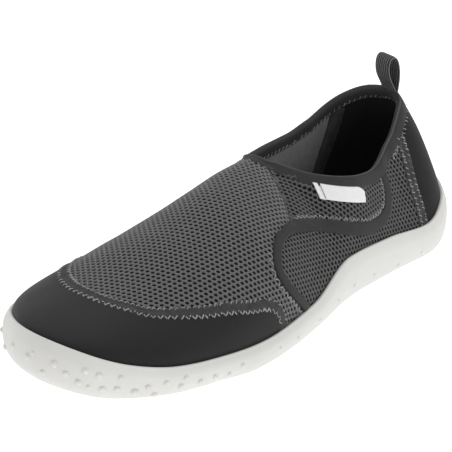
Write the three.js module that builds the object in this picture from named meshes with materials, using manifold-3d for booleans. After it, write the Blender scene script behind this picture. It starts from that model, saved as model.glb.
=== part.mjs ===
// Water shoe for the left foot, about EU 43, standing empty on its sole.
// Millimetres, +Z up. The toe points to -Y and the foot's outer side to +X. The floor is Z = 0 and
// the origin lies on it, under the middle of the sole.
// Along the shoe, s runs from 0 at the heel's rear to soleLength at the toe's tip.

import * as THREE from 'three';
import { mergeVertices } from 'three/addons/utils/BufferGeometryUtils.js';
import Module from 'manifold-3d';

const wasm = await Module();
wasm.setup();

// Driving sizes of the sole
const soleLength = 285;
const ballWidth = 106;
const soleThickness = 6;
const bumperHeight = 30;
const toeSpring = 7;
const rimSetback = 2.6;
const rimLip = 0.5;
const edgeRounding = 3.5;
const treadInset = 6.6;
const lugDepth = 1.8;
const lugLength = 6;
const lugPitch = 11;
const lugMargin = 9;
const lugGap = 3.5;
const lugColumns = 3;
const lugSweep = 0.12;
const treadStart = 0.07;
const treadEnd = 0.9;
const waistStart = 0.32;
const waistEnd = 0.5;

// Driving sizes of the upper
const heelHeight = 78;
const instepHeight = 63;
const toeHeight = 40;
const upperInset = 4.7;
const wallTuck = 1;
const upperWall = 2;
const overlayWall = 0.9;
const seamRise = 1.5;
const toeSeamWidth = 5;
const heelSeamWidth = 7;
const bindingWall = 0.8;
const bindingWidth = 7;
const strapWall = 1;
const strapEdgeWidth = 6;
const strapEdgeRise = 1.9;
const insoleThickness = 3;

// Driving sizes of the trim
const loopWidth = 10;
const loopRise = 20;
const loopWall = 1.2;
const loopReach = 11;
const loopTurn = 20;
const loopRoom = 1.4;
const labelLength = 27;
const labelHeight = 7;
const labelSlope = 15;
const labelWall = 0.5;
const labelAlong = 0.38;
const labelUp = 0.66;

// Free space between pieces that touch on the real shoe
const clearance = 0.3;
const bindingClearance = 0.55;
const insoleSlack = 1.5;

const halfBall = ballWidth / 2;
const heelPivot = 0.165 * soleLength;
const throat = 0.456 * soleLength;
const toePivot = 0.7 * soleLength;

// The sole's outline: across in shares of half the ball width (+ outer side), along in shares of
// the sole's length, from the heel up the outer side, round the toe and back down the inner side.
const OUTLINE = [
  { across: 0.03, along: 0.0 },
  { across: 0.47, along: 0.038 },
  { across: 0.745, along: 0.13 },
  { across: 0.755, along: 0.255 },
  { across: 0.815, along: 0.4 },
  { across: 0.925, along: 0.534 },
  { across: 1.0, along: 0.665 },
  { across: 0.97, along: 0.78 },
  { across: 0.83, along: 0.89 },
  { across: 0.475, along: 0.977 },
  { across: -0.1, along: 1.0 },
  { across: -0.56, along: 0.97 },
  { across: -0.945, along: 0.89 },
  { across: -1.0, along: 0.78 },
  { across: -0.965, along: 0.67 },
  { across: -0.785, along: 0.551 },
  { across: -0.68, along: 0.425 },
  { across: -0.7, along: 0.275 },
  { across: -0.715, along: 0.134 },
  { across: -0.44, along: 0.039 },
];

// The ridge line over the foot. Its height is a sum of shares of the heel's, instep's and toe's
// heights; behind the throat it closes the section above the open collar.
const RIDGE = [
  { at: 0.0, heel: 1.15, instep: 0.0, toe: 0.0, bumper: 0.0, across: -0.17 },
  { at: 0.165, heel: 1.25, instep: 0.0, toe: 0.0, bumper: 0.0, across: -0.17 },
  { at: 0.32, heel: 1.0, instep: 0.35, toe: 0.0, bumper: 0.0, across: -0.11 },
  { at: 0.4, heel: 0.45, instep: 0.65, toe: 0.0, bumper: 0.0, across: -0.16 },
  { at: 0.456, heel: 0.0, instep: 1.0, toe: 0.0, bumper: 0.0, across: -0.2 },
  { at: 0.565, heel: 0.0, instep: 0.95, toe: 0.0, bumper: 0.0, across: -0.13 },
  { at: 0.7, heel: 0.0, instep: 0.79, toe: 0.0, bumper: 0.0, across: -0.06 },
  { at: 0.845, heel: 0.0, instep: 0.0, toe: 0.98, bumper: 0.0, across: -0.07 },
  { at: 0.95, heel: 0.0, instep: 0.0, toe: 0.5, bumper: 0.54, across: -0.07 },
  { at: 1.0, heel: 0.0, instep: 0.0, toe: 0.0, bumper: 1.15, across: -0.07 },
];

// Roundness of the sections on the outer and the inner side: 2 is an ellipse, less is flatter.
const ROUNDNESS = [
  { at: 0.0, outer: 1.2, inner: 1.75 },
  { at: 0.21, outer: 1.1, inner: 2.1 },
  { at: 0.42, outer: 1.35, inner: 2.15 },
  { at: 0.63, outer: 2.0, inner: 1.85 },
  { at: 1.0, outer: 2.1, inner: 2.0 },
];

// Height of the sole's rim on both sides, in shares of the bumper's height.
const RIM = [
  { at: 0.0, outer: 0.88, inner: 0.98 },
  { at: 0.07, outer: 0.77, inner: 0.92 },
  { at: 0.165, outer: 0.6, inner: 0.83 },
  { at: 0.285, outer: 0.72, inner: 0.81 },
  { at: 0.41, outer: 0.81, inner: 0.8 },
  { at: 0.53, outer: 0.47, inner: 0.62 },
  { at: 0.655, outer: 0.41, inner: 0.52 },
  { at: 0.775, outer: 0.475, inner: 0.59 },
  { at: 0.88, outer: 0.57, inner: 0.65 },
  { at: 0.95, outer: 0.685, inner: 0.85 },
  { at: 1.0, outer: 0.86, inner: 1.02 },
];

// Lift of the tread above the floor, in shares of the toe spring: flat under heel and ball.
const GROUND = [
  { at: 0.0, lift: 0.54 },
  { at: 0.07, lift: 0.27 },
  { at: 0.15, lift: 0.0 },
  { at: 0.24, lift: 0.0 },
  { at: 0.39, lift: 0.22 },
  { at: 0.52, lift: 0.12 },
  { at: 0.6, lift: 0.0 },
  { at: 0.7, lift: 0.0 },
  { at: 0.79, lift: 0.42 },
  { at: 0.91, lift: 0.68 },
  { at: 1.0, lift: 0.93 },
];

// Collar height on both sides, in shares of the heel's height; it ends at the throat's ridge.
const COLLAR = [
  { at: 0.0, outer: 1.0, inner: 1.0 },
  { at: 0.07, outer: 0.985, inner: 0.965 },
  { at: 0.12, outer: 0.925, inner: 0.865 },
  { at: 0.18, outer: 0.78, inner: 0.765 },
  { at: 0.265, outer: 0.675, inner: 0.715 },
  { at: 0.35, outer: 0.72, inner: 0.715 },
  { at: 0.415, outer: 0.765, inner: 0.74 },
];

// Edge of the toe cap seen from above, from the outer rim over the toes to the inner rim, across
// in shares of half the ball width and along in shares of the sole's length.
const CAP_EDGE = [
  { across: 1.05, along: 0.57 },
  { across: 0.89, along: 0.635 },
  { across: 0.83, along: 0.71 },
  { across: 0.69, along: 0.792 },
  { across: 0.47, along: 0.85 },
  { across: 0.24, along: 0.872 },
  { across: -0.03, along: 0.876 },
  { across: -0.37, along: 0.846 },
  { across: -0.66, along: 0.79 },
  { across: -0.85, along: 0.71 },
  { across: -0.95, along: 0.62 },
  { across: -1.1, along: 0.55 },
];

// Middle of the seam between quarter and heel counter, seen from the side: along in shares of the
// sole's length, up in shares of the heel's height.
const COUNTER_SEAM = [
  { along: 0.1, up: 1.04 },
  { along: 0.135, up: 0.9 },
  { along: 0.155, up: 0.78 },
  { along: 0.16, up: 0.62 },
  { along: 0.165, up: 0.48 },
  { along: 0.165, up: 0.34 },
  { along: 0.168, up: 0.1 },
];

// Middle of the binding round the side strap and down the vamp's side edge, in the same shares.
const STRAP_EDGE = [
  { along: 0.24, up: 0.72 },
  { along: 0.24, up: 0.6 },
  { along: 0.247, up: 0.49 },
  { along: 0.272, up: 0.405 },
  { along: 0.32, up: 0.39 },
  { along: 0.37, up: 0.435 },
  { along: 0.435, up: 0.51 },
  { along: 0.5, up: 0.57 },
  { along: 0.545, up: 0.578 },
  { along: 0.577, up: 0.55 },
  { along: 0.6, up: 0.48 },
  { along: 0.6, up: 0.4 },
  { along: 0.575, up: 0.28 },
  { along: 0.53, up: 0.1 },
];

// Front seam of the side strap, from the collar down to its binding, in the same shares.
const STRAP_FRONT = [
  { along: 0.4, up: 0.93 },
  { along: 0.437, up: 0.78 },
  { along: 0.468, up: 0.69 },
  { along: 0.497, up: 0.6 },
];

// Section of the sole's side from the rim down: how far it lies inside the outline, in shares of
// the rim's setback and of the edge's rounding, and its height in shares of the rim's.
const SOLE_SIDE = [
  { setback: 1, rounding: 0, up: 0.98 },
  { setback: 0.2, rounding: 0, up: 0.75 },
  { setback: 0, rounding: 0, up: 0.5 },
  { setback: 0, rounding: 0.15, up: 0.28 },
  { setback: 0, rounding: 1, up: 0.08 },
];

// Free part of the pull loop, from the heel's outer face over the top to the inner face: how far
// out in shares of its outer and inner legs' places, and how high in shares of the loop's rise.
const LOOP = [
  { outer: 1, inner: 0, rise: 0 },
  { outer: 0.6, inner: 0, rise: 0.35 },
  { outer: 0.9, inner: 0, rise: 0.75 },
  { outer: 0.5, inner: 0.5, rise: 0.97 },
  { outer: 0, inner: 0.95, rise: 0.75 },
  { outer: 0, inner: 0.75, rise: 0.35 },
  { outer: 0, inner: 1, rise: 0 },
];

// Curve through a table's column that doesn't overshoot its rows (monotone cubic).
function curveThrough(xs, ys) {
  const last = xs.length - 1;
  const step = xs.slice(1).map((x, i) => x - xs[i]);
  const rise = ys.slice(1).map((y, i) => (y - ys[i]) / step[i]);
  const slope = ys.map((_, i) => {
    if (i === 0) return rise[0];
    if (i === last) return rise[last - 1];
    if (rise[i - 1] * rise[i] <= 0) return 0;
    const a = 2 * step[i] + step[i - 1];
    const b = step[i] + 2 * step[i - 1];
    return (a + b) / (a / rise[i - 1] + b / rise[i]);
  });
  return (x) => {
    if (x <= xs[0]) return ys[0];
    if (x >= xs[last]) return ys[last];
    let i = 0;
    while (x > xs[i + 1]) i += 1;
    const t = (x - xs[i]) / step[i];
    const u = 1 - t;
    return (
      ys[i] * (1 + 2 * t) * u * u +
      ys[i + 1] * (3 - 2 * t) * t * t +
      step[i] * (slope[i] * t * u * u - slope[i + 1] * t * t * u)
    );
  };
}

function column(table, valueOf) {
  return curveThrough(table.map((row) => row.at * soleLength), table.map(valueOf));
}

const ridgeHeight = column(RIDGE, (r) => (
  r.heel * heelHeight + r.instep * instepHeight + r.toe * toeHeight + r.bumper * bumperHeight
));
const ridgeAcross = column(RIDGE, (r) => r.across * halfBall);
const roundOuter = column(ROUNDNESS, (r) => r.outer);
const roundInner = column(ROUNDNESS, (r) => r.inner);
const rimOuter = column(RIM, (r) => r.outer * bumperHeight);
const rimInner = column(RIM, (r) => r.inner * bumperHeight);
const ground = column(GROUND, (r) => r.lift * toeSpring);
const bindingCrest = bindingClearance + bindingWall;
const throatRow = { at: throat / soleLength, outer: 0, inner: 0, edge: instepHeight };
const collarEdge = (side) => (
  column([...COLLAR, throatRow], (r) => r.edge ?? r[side] * heelHeight - bindingCrest)
);
const collarOuter = collarEdge('outer');
const collarInner = collarEdge('inner');

const blend = (side, outer, inner) => side * outer + (1 - side) * inner;
const footbed = (s) => ground(s) + soleThickness;
const seat = (s) => footbed(s) + clearance;

// Point between p1 and p2 of a smooth curve through four points (Catmull-Rom).
function splinePoint(p0, p1, p2, p3, t) {
  return [0, 1].map((k) => 0.5 * (
    2 * p1[k] + (p2[k] - p0[k]) * t +
    (2 * p0[k] - 5 * p1[k] + 4 * p2[k] - p3[k]) * t * t +
    (3 * p1[k] - p0[k] - 3 * p2[k] + p3[k]) * t * t * t
  ));
}

function smoothLoop(points, steps) {
  const n = points.length;
  return points.flatMap((_, i) => {
    const near = [-1, 0, 1, 2].map((k) => points[(i + k + n) % n]);
    return Array.from({ length: steps }, (__, j) => splinePoint(...near, j / steps));
  });
}

const outline = smoothLoop(OUTLINE.map((p) => [p.across * halfBall, p.along * soleLength]), 12);

// Longest way across an inset that a ray may take where it meets the outline at an angle.
const maxSlant = 1.3;

// A ray runs level from a pivot on the ridge line to the sole's outline. Beside the foot the rays
// are square to its length; round the toe and the heel they fan out from the two end pivots.
function makeRay(s, dx, ds) {
  const px = ridgeAcross(s);
  let reach = 0;
  let slant = 1;
  outline.forEach(([ax, as], i) => {
    const [bx, bs] = outline[(i + 1) % outline.length];
    const [ex, es] = [bx - ax, bs - as];
    const det = ds * ex - dx * es;
    if (det === 0) return;
    const t = (ex * (as - s) - es * (ax - px)) / det;
    const w = (dx * (as - s) - ds * (ax - px)) / det;
    if (w < 0 || w > 1 || t <= reach) return;
    reach = t;
    slant = Math.min(maxSlant, Math.hypot(ex, es) / Math.abs(es * dx - ex * ds));
  });
  const end = s + reach * ds;
  const side = 0.5 + 0.5 * dx;
  const rim = blend(side, rimOuter(end), rimInner(end));
  const round = blend(side, roundOuter(end), roundInner(end));
  return { px, s, dx, ds, reach, slant, side, rim, round };
}

function outlinePoint(ray, outwards) {
  const r = ray.reach + outwards * ray.slant;
  return [ray.px + r * ray.dx, ray.s + r * ray.ds];
}

// Point of the upper's form on a ray: a quarter of a rounded section, with v from 0 at the sole's
// rim to 90 degrees on the ridge.
function formPoint(ray, v) {
  const out = (ray.reach - upperInset * ray.slant) * Math.max(0, Math.cos(v)) ** (2 / ray.round);
  const up = Math.sin(v) ** (2 / ray.round);
  const s = ray.s + out * ray.ds;
  return [ray.px + out * ray.dx, s, ray.rim + (ridgeHeight(s) - ray.rim) * up];
}

// Point of the wall inside the sole's rim, grown outwards: depth 0 is at the rim, 1 on the seat.
function wallPoint(ray, depth, grow) {
  const out = ray.reach + (grow - upperInset) * ray.slant - depth * wallTuck;
  const s = ray.s + out * ray.ds;
  return [ray.px + out * ray.dx, s, ray.rim - depth * (ray.rim - seat(s))];
}

// The ray that runs under a point, and how far out the point lies: 1 is on the form.
function rayThrough(x, s) {
  if (s > heelPivot && s < toePivot) return makeRay(s, x < ridgeAcross(s) ? -1 : 1, 0);
  const pivot = s <= heelPivot ? heelPivot : toePivot;
  const [ex, es] = [x - ridgeAcross(pivot), s - pivot];
  const length = Math.hypot(ex, es);
  return makeRay(pivot, ex / length, es / length);
}

function levelOf(ray, [x, s, z]) {
  const out = Math.hypot(x - ray.px, s - ray.s) / (ray.reach - upperInset * ray.slant);
  const up = Math.max(0, z - ray.rim) / (ridgeHeight(s) - ray.rim);
  return (out ** ray.round + up ** ray.round) ** (1 / ray.round);
}

function ontoForm(point) {
  let p = point;
  for (let i = 0; i < 4; i += 1) {
    const ray = rayThrough(p[0], p[1]);
    const level = levelOf(ray, p);
    p = [ray.px, ray.s, ray.rim].map((c, k) => c + (p[k] - c) / level);
  }
  return p;
}

const unit = (v) => v.map((c) => c / Math.hypot(...v));
const cross = (a, b) => [0, 1, 2].map((k) => {
  const [i, j] = [(k + 1) % 3, (k + 2) % 3];
  return a[i] * b[j] - a[j] * b[i];
});
const along = (p, v, d) => p.map((c, k) => c + v[k] * d);

const probe = 0.2;

function formNormal(p) {
  return unit([0, 1, 2].map((k) => {
    const [a, b] = [[...p], [...p]];
    a[k] -= probe;
    b[k] += probe;
    return levelOf(rayThrough(b[0], b[1]), b) - levelOf(rayThrough(a[0], a[1]), a);
  }));
}

// On the ridge line both sides share one normal, which follows the ridge's slope alone.
const ridgeNormal = (s) => unit([0, ridgeHeight(s - probe) - ridgeHeight(s + probe), 2 * probe]);

const grown = (p, grow) => along(p, formNormal(p), grow);

// Angle at which the form rises past a height given along the shoe.
function angleAt(ray, heightAt) {
  let [low, high] = [0, Math.PI / 2];
  for (let i = 0; i < 40; i += 1) {
    const middle = (low + high) / 2;
    const [, s, z] = formPoint(ray, middle);
    if (z < heightAt(s)) low = middle;
    else high = middle;
  }
  return (low + high) / 2;
}

const distance = (a, b) => Math.hypot(a[0] - b[0], a[1] - b[1], a[2] - b[2]);

// Girth of the form along a ray, from the rim to its top, and the angle at a given girth.
function girthOf(ray, top) {
  const samples = 60;
  const angles = Array.from({ length: samples + 1 }, (_, i) => (top * i) / samples);
  const girth = [0];
  for (let i = 1; i <= samples; i += 1) {
    girth.push(girth[i - 1] + distance(formPoint(ray, angles[i - 1]), formPoint(ray, angles[i])));
  }
  const angleAtGirth = (goal) => {
    let i = 0;
    while (i < samples - 1 && girth[i + 1] < goal) i += 1;
    const share = (goal - girth[i]) / Math.max(girth[i + 1] - girth[i], 1e-9);
    return angles[i] + (angles[i + 1] - angles[i]) * Math.min(1, share);
  };
  return { full: girth[samples], angleAtGirth };
}

// Stations beside the collar draw together towards the throat, where the opening turns.
const collarSteps = 12;
const vampSteps = 8;
const toeFan = 19;
const heelFan = 13;
const collarStations = Array.from({ length: collarSteps + 1 }, (_, k) => (
  throat - (throat - heelPivot) * (1 - k / collarSteps) ** 2
));
const vampStations = Array.from({ length: vampSteps }, (_, k) => (
  throat + ((toePivot - throat) * (k + 1)) / vampSteps
));
const stations = [...collarStations, ...vampStations];
const fan = (pivot, count, toe) => Array.from({ length: count }, (_, k) => {
  const turn = Math.PI * ((k + 1) / (count + 1) - 0.5);
  return makeRay(pivot, -toe * Math.sin(turn), toe * Math.cos(turn));
});
const rays = [
  ...stations.map((s) => makeRay(s, 1, 0)),
  ...fan(toePivot, toeFan, 1),
  ...[...stations].reverse().map((s) => makeRay(s, -1, 0)),
  ...fan(heelPivot, heelFan, -1),
];

// Each ray's angles: even steps of girth above the rim, then two short ones under the collar.
const wallSteps = 8;
const startGirth = 2 * clearance;
rays.forEach((ray) => {
  ray.open = ray.ds < 0 || (ray.ds === 0 && ray.s < throat - 0.01);
  ray.top = ray.open
    ? angleAt(ray, (at) => blend(ray.side, collarOuter(at), collarInner(at)))
    : Math.PI / 2;
  const { full, angleAtGirth } = girthOf(ray, ray.top);
  const wall = full - bindingWidth;
  const even = Array.from({ length: wallSteps }, (_, k) => angleAtGirth((wall * (k + 1)) / wallSteps));
  const levels = [...even, angleAtGirth(full - bindingWidth / 2), ray.top];
  const withNormal = (v) => ({ p: formPoint(ray, v), normal: formNormal(formPoint(ray, v)) });
  ray.rimPoint = withNormal(0);
  ray.start = withNormal(angleAtGirth(startGirth));
  ray.levels = levels.map(withNormal);
  if (!ray.open) ray.levels[levels.length - 1].normal = ridgeNormal(ray.s);
});

// Triangles to one closed mesh whose shared corners are merged and whose faces point out.
function closedGeometry(triangles) {
  const flat = [];
  let volume = 0;
  triangles.forEach(([a, b, c]) => {
    if (distance(a, b) < 1e-3 || distance(b, c) < 1e-3 || distance(c, a) < 1e-3) return;
    flat.push(...a, ...b, ...c);
    volume += a[0] * (b[1] * c[2] - b[2] * c[1]) - a[1] * (b[0] * c[2] - b[2] * c[0]) +
      a[2] * (b[0] * c[1] - b[1] * c[0]);
  });
  const soup = new THREE.BufferGeometry();
  soup.setAttribute('position', new THREE.Float32BufferAttribute(flat, 3));
  const merged = mergeVertices(soup, 1e-3);
  if (volume < 0) {
    const index = merged.getIndex();
    for (let i = 0; i < index.count; i += 3) {
      const b = index.getX(i + 1);
      index.setX(i + 1, index.getX(i + 2));
      index.setX(i + 2, b);
    }
  }
  return merged;
}

function toSolid(geometry) {
  const bare = geometry.clone();
  bare.deleteAttribute('normal');
  bare.deleteAttribute('uv');
  const merged = mergeVertices(bare, 1e-3);
  return new wasm.Manifold(new wasm.Mesh({
    numProp: 3,
    vertProperties: new Float32Array(merged.getAttribute('position').array),
    triVerts: new Uint32Array(merged.getIndex().array),
  }));
}

function toGeometry(solid) {
  const mesh = solid.getMesh();
  const geometry = new THREE.BufferGeometry();
  geometry.setAttribute('position', new THREE.Float32BufferAttribute(mesh.vertProperties, 3));
  geometry.setIndex(new THREE.Uint32BufferAttribute(mesh.triVerts, 1));
  return geometry;
}

// A cut can leave loose slivers at its corners: the piece is the largest body.
function mainBody(solid) {
  const bodies = solid.decompose();
  return toGeometry(bodies.reduce((best, body) => (body.volume() > best.volume() ? body : best)));
}

const place = ([x, s, z]) => [x, soleLength / 2 - s, z];
const quad = (a, b, c, d) => [[a, b, c], [a, c, d]];

// Facets between two closed rows of points of one length.
function strip(rowA, rowB) {
  return rowA.flatMap((a, i) => {
    const j = (i + 1) % rowA.length;
    return quad(a, rowA[j], rowB[j], rowB[i]);
  });
}

const ringStack = (rings) => closedGeometry(
  rings.slice(1).flatMap((ring, k) => strip(rings[k].map(place), ring.map(place))),
);

// Closed shell between two growths of the upper's form, with the same facets on both faces.
// columnOf gives a ray's points from the bottom up, for one growth.
function formShell(inner, outer, columnOf) {
  const rows = (grow) => {
    const columns = rays.map((ray) => columnOf(ray, grow).map(place));
    return columns[0].map((_, k) => columns.map((points) => points[k]));
  };
  const [inside, outside] = [rows(inner), rows(outer)];
  const last = inside.length - 1;
  const faces = strip(inside[0], outside[0]);
  for (let k = 0; k < last; k += 1) {
    faces.push(...strip(outside[k], outside[k + 1]));
    faces.push(...strip(inside[k], inside[k + 1]).map(([a, b, c]) => [a, c, b]));
  }
  rays.forEach((ray, i) => {
    const j = (i + 1) % rays.length;
    if (!ray.open && !rays[j].open) return;
    faces.push(...quad(outside[last][i], outside[last][j], inside[last][j], inside[last][i]));
  });
  return closedGeometry(faces);
}

// Upper: one hollow wall from the seat up to the collar, open at the collar and underneath.
const makeUpper = () => formShell(-upperWall, 0, (ray, grow) => [
  wallPoint(ray, 1, grow),
  ...[ray.start, ...ray.levels].map(({ p, normal }) => along(p, normal, grow)),
]);

// Larger form for what is laid on the upper, from just above the sole's rim.
const overlayForm = (inner, outer) => toSolid(formShell(inner, outer, (ray, grow) => (
  [ray.start, ...ray.levels].map(({ p, normal }) => along(p, normal, grow))
)));

// Smooth open curve through a few points.
function smoothPath(points, steps) {
  const at = (i) => points[Math.min(points.length - 1, Math.max(0, i))];
  const path = [];
  for (let i = 0; i < points.length - 1; i += 1) {
    const near = [-1, 0, 1, 2].map((k) => at(i + k));
    for (let j = 0; j < steps; j += 1) path.push(splinePoint(...near, j / steps));
  }
  path.push(points[points.length - 1]);
  return path;
}

// The path moved sideways, to its left where the distance is positive.
function shiftPath(path, sideways) {
  return path.map((p, i) => {
    const a = path[Math.max(0, i - 1)];
    const b = path[Math.min(path.length - 1, i + 1)];
    const length = Math.hypot(b[0] - a[0], b[1] - a[1]);
    return [p[0] - (sideways * (b[1] - a[1])) / length, p[1] + (sideways * (b[0] - a[0])) / length];
  });
}

const bandOutline = (path, from, to) => [...shiftPath(path, from), ...shiftPath(path, to).reverse()];

// Prisms over an outline: along X for one drawn from the side, along Z for one drawn from above.
function sidePrism(points, from, to) {
  const shape = new THREE.Shape(points.map(([s, z]) => new THREE.Vector2(soleLength / 2 - s, z)));
  const geometry = new THREE.ExtrudeGeometry(shape, { depth: to - from, bevelEnabled: false });
  const turned = new THREE.Matrix4().set(0, 0, 1, from, 1, 0, 0, 0, 0, 1, 0, 0, 0, 0, 0, 1);
  return toSolid(geometry.applyMatrix4(turned));
}

function topPrism(points) {
  const shape = new THREE.Shape(points.map(([x, s]) => new THREE.Vector2(x, soleLength / 2 - s)));
  return toSolid(new THREE.ExtrudeGeometry(shape, { depth: 2 * heelHeight, bevelEnabled: false }));
}

const sidePath = (table, steps = 3) => smoothPath(
  table.map((p) => [p.along * soleLength, p.up * heelHeight]), steps,
);

// The collar's edge as a loop, with the direction that leads away from the opening at each point.
function collarLoop() {
  const open = rays.filter((ray) => ray.open);
  const outerCount = collarSteps;
  const throatRay = makeRay(throat, 1, 0);
  const edges = [
    formPoint(throatRay, Math.PI / 2),
    ...open.slice(outerCount).map((ray) => formPoint(ray, ray.top)),
    ...open.slice(0, outerCount).map((ray) => formPoint(ray, ray.top)),
  ];
  const centre = [0, 1, 2].map((k) => edges.reduce((sum, p) => sum + p[k], 0) / edges.length);
  return edges.map((p, i) => {
    const before = edges[(i + edges.length - 1) % edges.length];
    const after = edges[(i + 1) % edges.length];
    const normal = i === 0 ? ridgeNormal(throat) : formNormal(p);
    const tangent = unit(after.map((c, k) => c - before[k]));
    const away = unit(cross(normal, tangent));
    const ahead = unit([p[0] - centre[0], p[1] - centre[1], 0]);
    const same = away[0] * ahead[0] + away[1] * ahead[1] - away[2];
    return { p, normal, away: same < 0 ? away.map((c) => -c) : away };
  });
}

const collar = collarLoop();

// A band along the collar: its profile lists how far each corner lies from the edge, over the
// form, and how far outside the form's face.
function collarBand(profile) {
  const corners = profile.map(([reach, grow]) => collar.map(({ p, normal, away }) => {
    if (reach <= 0) return along(along(p, away, reach), normal, grow);
    return grown(ontoForm(along(p, away, reach)), grow);
  }));
  return ringStack([...corners, corners[0]]);
}

function makeCollarBinding() {
  const near = bindingClearance;
  const far = bindingClearance + bindingWall;
  const w = bindingWidth;
  return collarBand([
    [w, far], [w / 2, far], [-near, far], [-far, -upperWall / 2], [-near, -upperWall - far],
    [w, -upperWall - far], [w, -upperWall - near], [-near, -upperWall - near],
    [-near, near], [w / 2, near], [w, near],
  ]);
}

// Room that overlays leave round the collar's binding.
const room = 2 * strapEdgeRise;
const collarRoom = toSolid(collarBand([
  [bindingWidth + clearance, -clearance], [bindingWidth + clearance, room],
  [-room, room], [-room, -clearance],
]));

const capEdge = smoothPath(CAP_EDGE.map((p) => [p.across * halfBall, p.along * soleLength]), 2);
const counterSeam = sidePath(COUNTER_SEAM);
const strapEdge = sidePath(STRAP_EDGE);
const strapFront = sidePath(STRAP_FRONT);

// Binding round the strap's free end and lower edge, and down the vamp's side edge to the sole.
function bindingSolid(widen, rise) {
  const half = strapEdgeWidth / 2 + widen;
  const region = sidePrism(bandOutline(strapEdge, -half, half), 0, ballWidth);
  return overlayForm(clearance - widen, rise).intersect(region);
}
const strapRoom = bindingSolid(clearance, 2 * strapEdgeRise);

function makeToeCap() {
  const ahead = [[-ballWidth, 1.2 * soleLength], [ballWidth, 1.2 * soleLength]];
  const region = topPrism([...capEdge, ...ahead]);
  return mainBody(overlayForm(clearance, clearance + overlayWall).intersect(region));
}

function makeToeSeam() {
  const region = topPrism(bandOutline(capEdge, clearance, clearance + toeSeamWidth));
  return mainBody(overlayForm(clearance, clearance + seamRise).intersect(region).subtract(strapRoom));
}

function makeHeelCounter() {
  const front = shiftPath(counterSeam, -heelSeamWidth / 2 - clearance);
  const behind = [[-soleLength, 0], [-soleLength, 2 * heelHeight]];
  const region = sidePrism([...front, ...behind], -ballWidth, ballWidth);
  return mainBody(overlayForm(clearance, clearance + overlayWall).intersect(region).subtract(collarRoom));
}

function makeCounterSeam(side) {
  const span = side > 0 ? [0, ballWidth] : [-ballWidth, 0];
  const region = sidePrism(bandOutline(counterSeam, -heelSeamWidth / 2, heelSeamWidth / 2), ...span);
  return mainBody(overlayForm(clearance, clearance + seamRise).intersect(region).subtract(collarRoom));
}

// Side strap: the panel between its front seam, the collar and the binding round its free edge.
function makeSideStrap() {
  const foot = strapFront[strapFront.length - 1];
  const free = strapEdge.slice(0, strapEdge.findIndex(([s]) => s > foot[0]));
  const top = [[strapFront[0][0], 2 * heelHeight], [free[0][0], 2 * heelHeight]];
  const region = sidePrism([...free, ...[...strapFront].reverse(), ...top], 0, ballWidth);
  const panel = overlayForm(clearance, clearance + strapWall).intersect(region);
  return mainBody(panel.subtract(strapRoom).subtract(collarRoom));
}

const makeStrapBinding = () => mainBody(bindingSolid(0, strapEdgeRise).subtract(collarRoom));

// Label sewn on the strap: a blank tab on the slope of the strap's upper edge.
function makeLabel() {
  const centre = [labelAlong * soleLength, labelUp * heelHeight];
  const slope = THREE.MathUtils.degToRad(labelSlope);
  const corners = [[-1, -1], [1, -1], [1, 1], [-1, 1]].map(([i, j]) => {
    const [u, v] = [(i * labelLength) / 2, (j * labelHeight) / 2];
    return [
      centre[0] + u * Math.cos(slope) - v * Math.sin(slope),
      centre[1] + u * Math.sin(slope) + v * Math.cos(slope),
    ];
  });
  const under = 2 * clearance + strapWall;
  const tab = overlayForm(under, under + labelWall).intersect(sidePrism(corners, 0, ballWidth));
  return mainBody(tab.subtract(collarRoom));
}

// Pull loop: a tape folded over the collar at the heel, drawn in the heel's upright plane with
// d outwards from the collar's edge and up along the wall's lean.
function makePullLoop() {
  const turn = THREE.MathUtils.degToRad(loopTurn);
  const ray = makeRay(heelPivot, Math.sin(turn), -Math.cos(turn));
  const edge = formPoint(ray, angleAt(ray, (at) => blend(ray.side, collarOuter(at), collarInner(at))));
  const normal = formNormal(edge);
  const flat = Math.hypot(normal[0], normal[1]);
  const down = [(normal[0] * normal[2]) / flat, (normal[1] * normal[2]) / flat, -flat];
  const lean = [-normal[2], flat];
  const out = [flat, normal[2]];
  const beside = (reach, grow) => {
    const step = grown(ontoForm(along(edge, down, reach)), grow).map((c, k) => c - edge[k]);
    const dot = (v) => step[0] * v[0] + step[1] * v[1] + step[2] * v[2];
    return [dot(normal), -dot(down)];
  };
  const face = bindingCrest + clearance + loopWall / 2;
  const back = -upperWall - face - loopRoom;
  const path = smoothPath([
    beside(loopReach, face),
    beside(loopReach / 2, face),
    ...LOOP.map((row) => [row.outer * face + row.inner * back, row.rise * loopRise]),
    beside(loopReach / 2, back),
    beside(loopReach, back),
  ], 3);
  const ribbon = bandOutline(path, -loopWall / 2, loopWall / 2);
  const shape = new THREE.Shape(ribbon.map(([d, up]) => (
    new THREE.Vector2(d * out[0] + up * lean[0], d * out[1] + up * lean[1])
  )));
  const tape = new THREE.ExtrudeGeometry(shape, { depth: loopWidth, bevelEnabled: false });
  tape.translate(0, 0, -loopWidth / 2);
  const outwards = new THREE.Vector3(normal[0], -normal[1], 0).normalize();
  const up = new THREE.Vector3(0, 0, 1);
  const across = new THREE.Vector3().crossVectors(outwards, up);
  const frame = new THREE.Matrix4().makeBasis(outwards, up, across);
  frame.setPosition(...place(edge));
  return toGeometry(toSolid(tape.applyMatrix4(frame)));
}

// Insole: a flat pad on the footbed, up to the upper's inner face.
function makeInsole() {
  const edge = -upperInset - upperWall - wallTuck - insoleSlack;
  const ring = (lift) => rays.map((ray) => {
    const [x, s] = outlinePoint(ray, edge);
    return [x, s, seat(s) + lift];
  });
  const spine = (lift) => rays.map((ray) => [ray.px, ray.s, seat(ray.s) + lift]);
  return ringStack([spine(0), ring(0), ring(insoleThickness), spine(insoleThickness)]);
}

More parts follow.
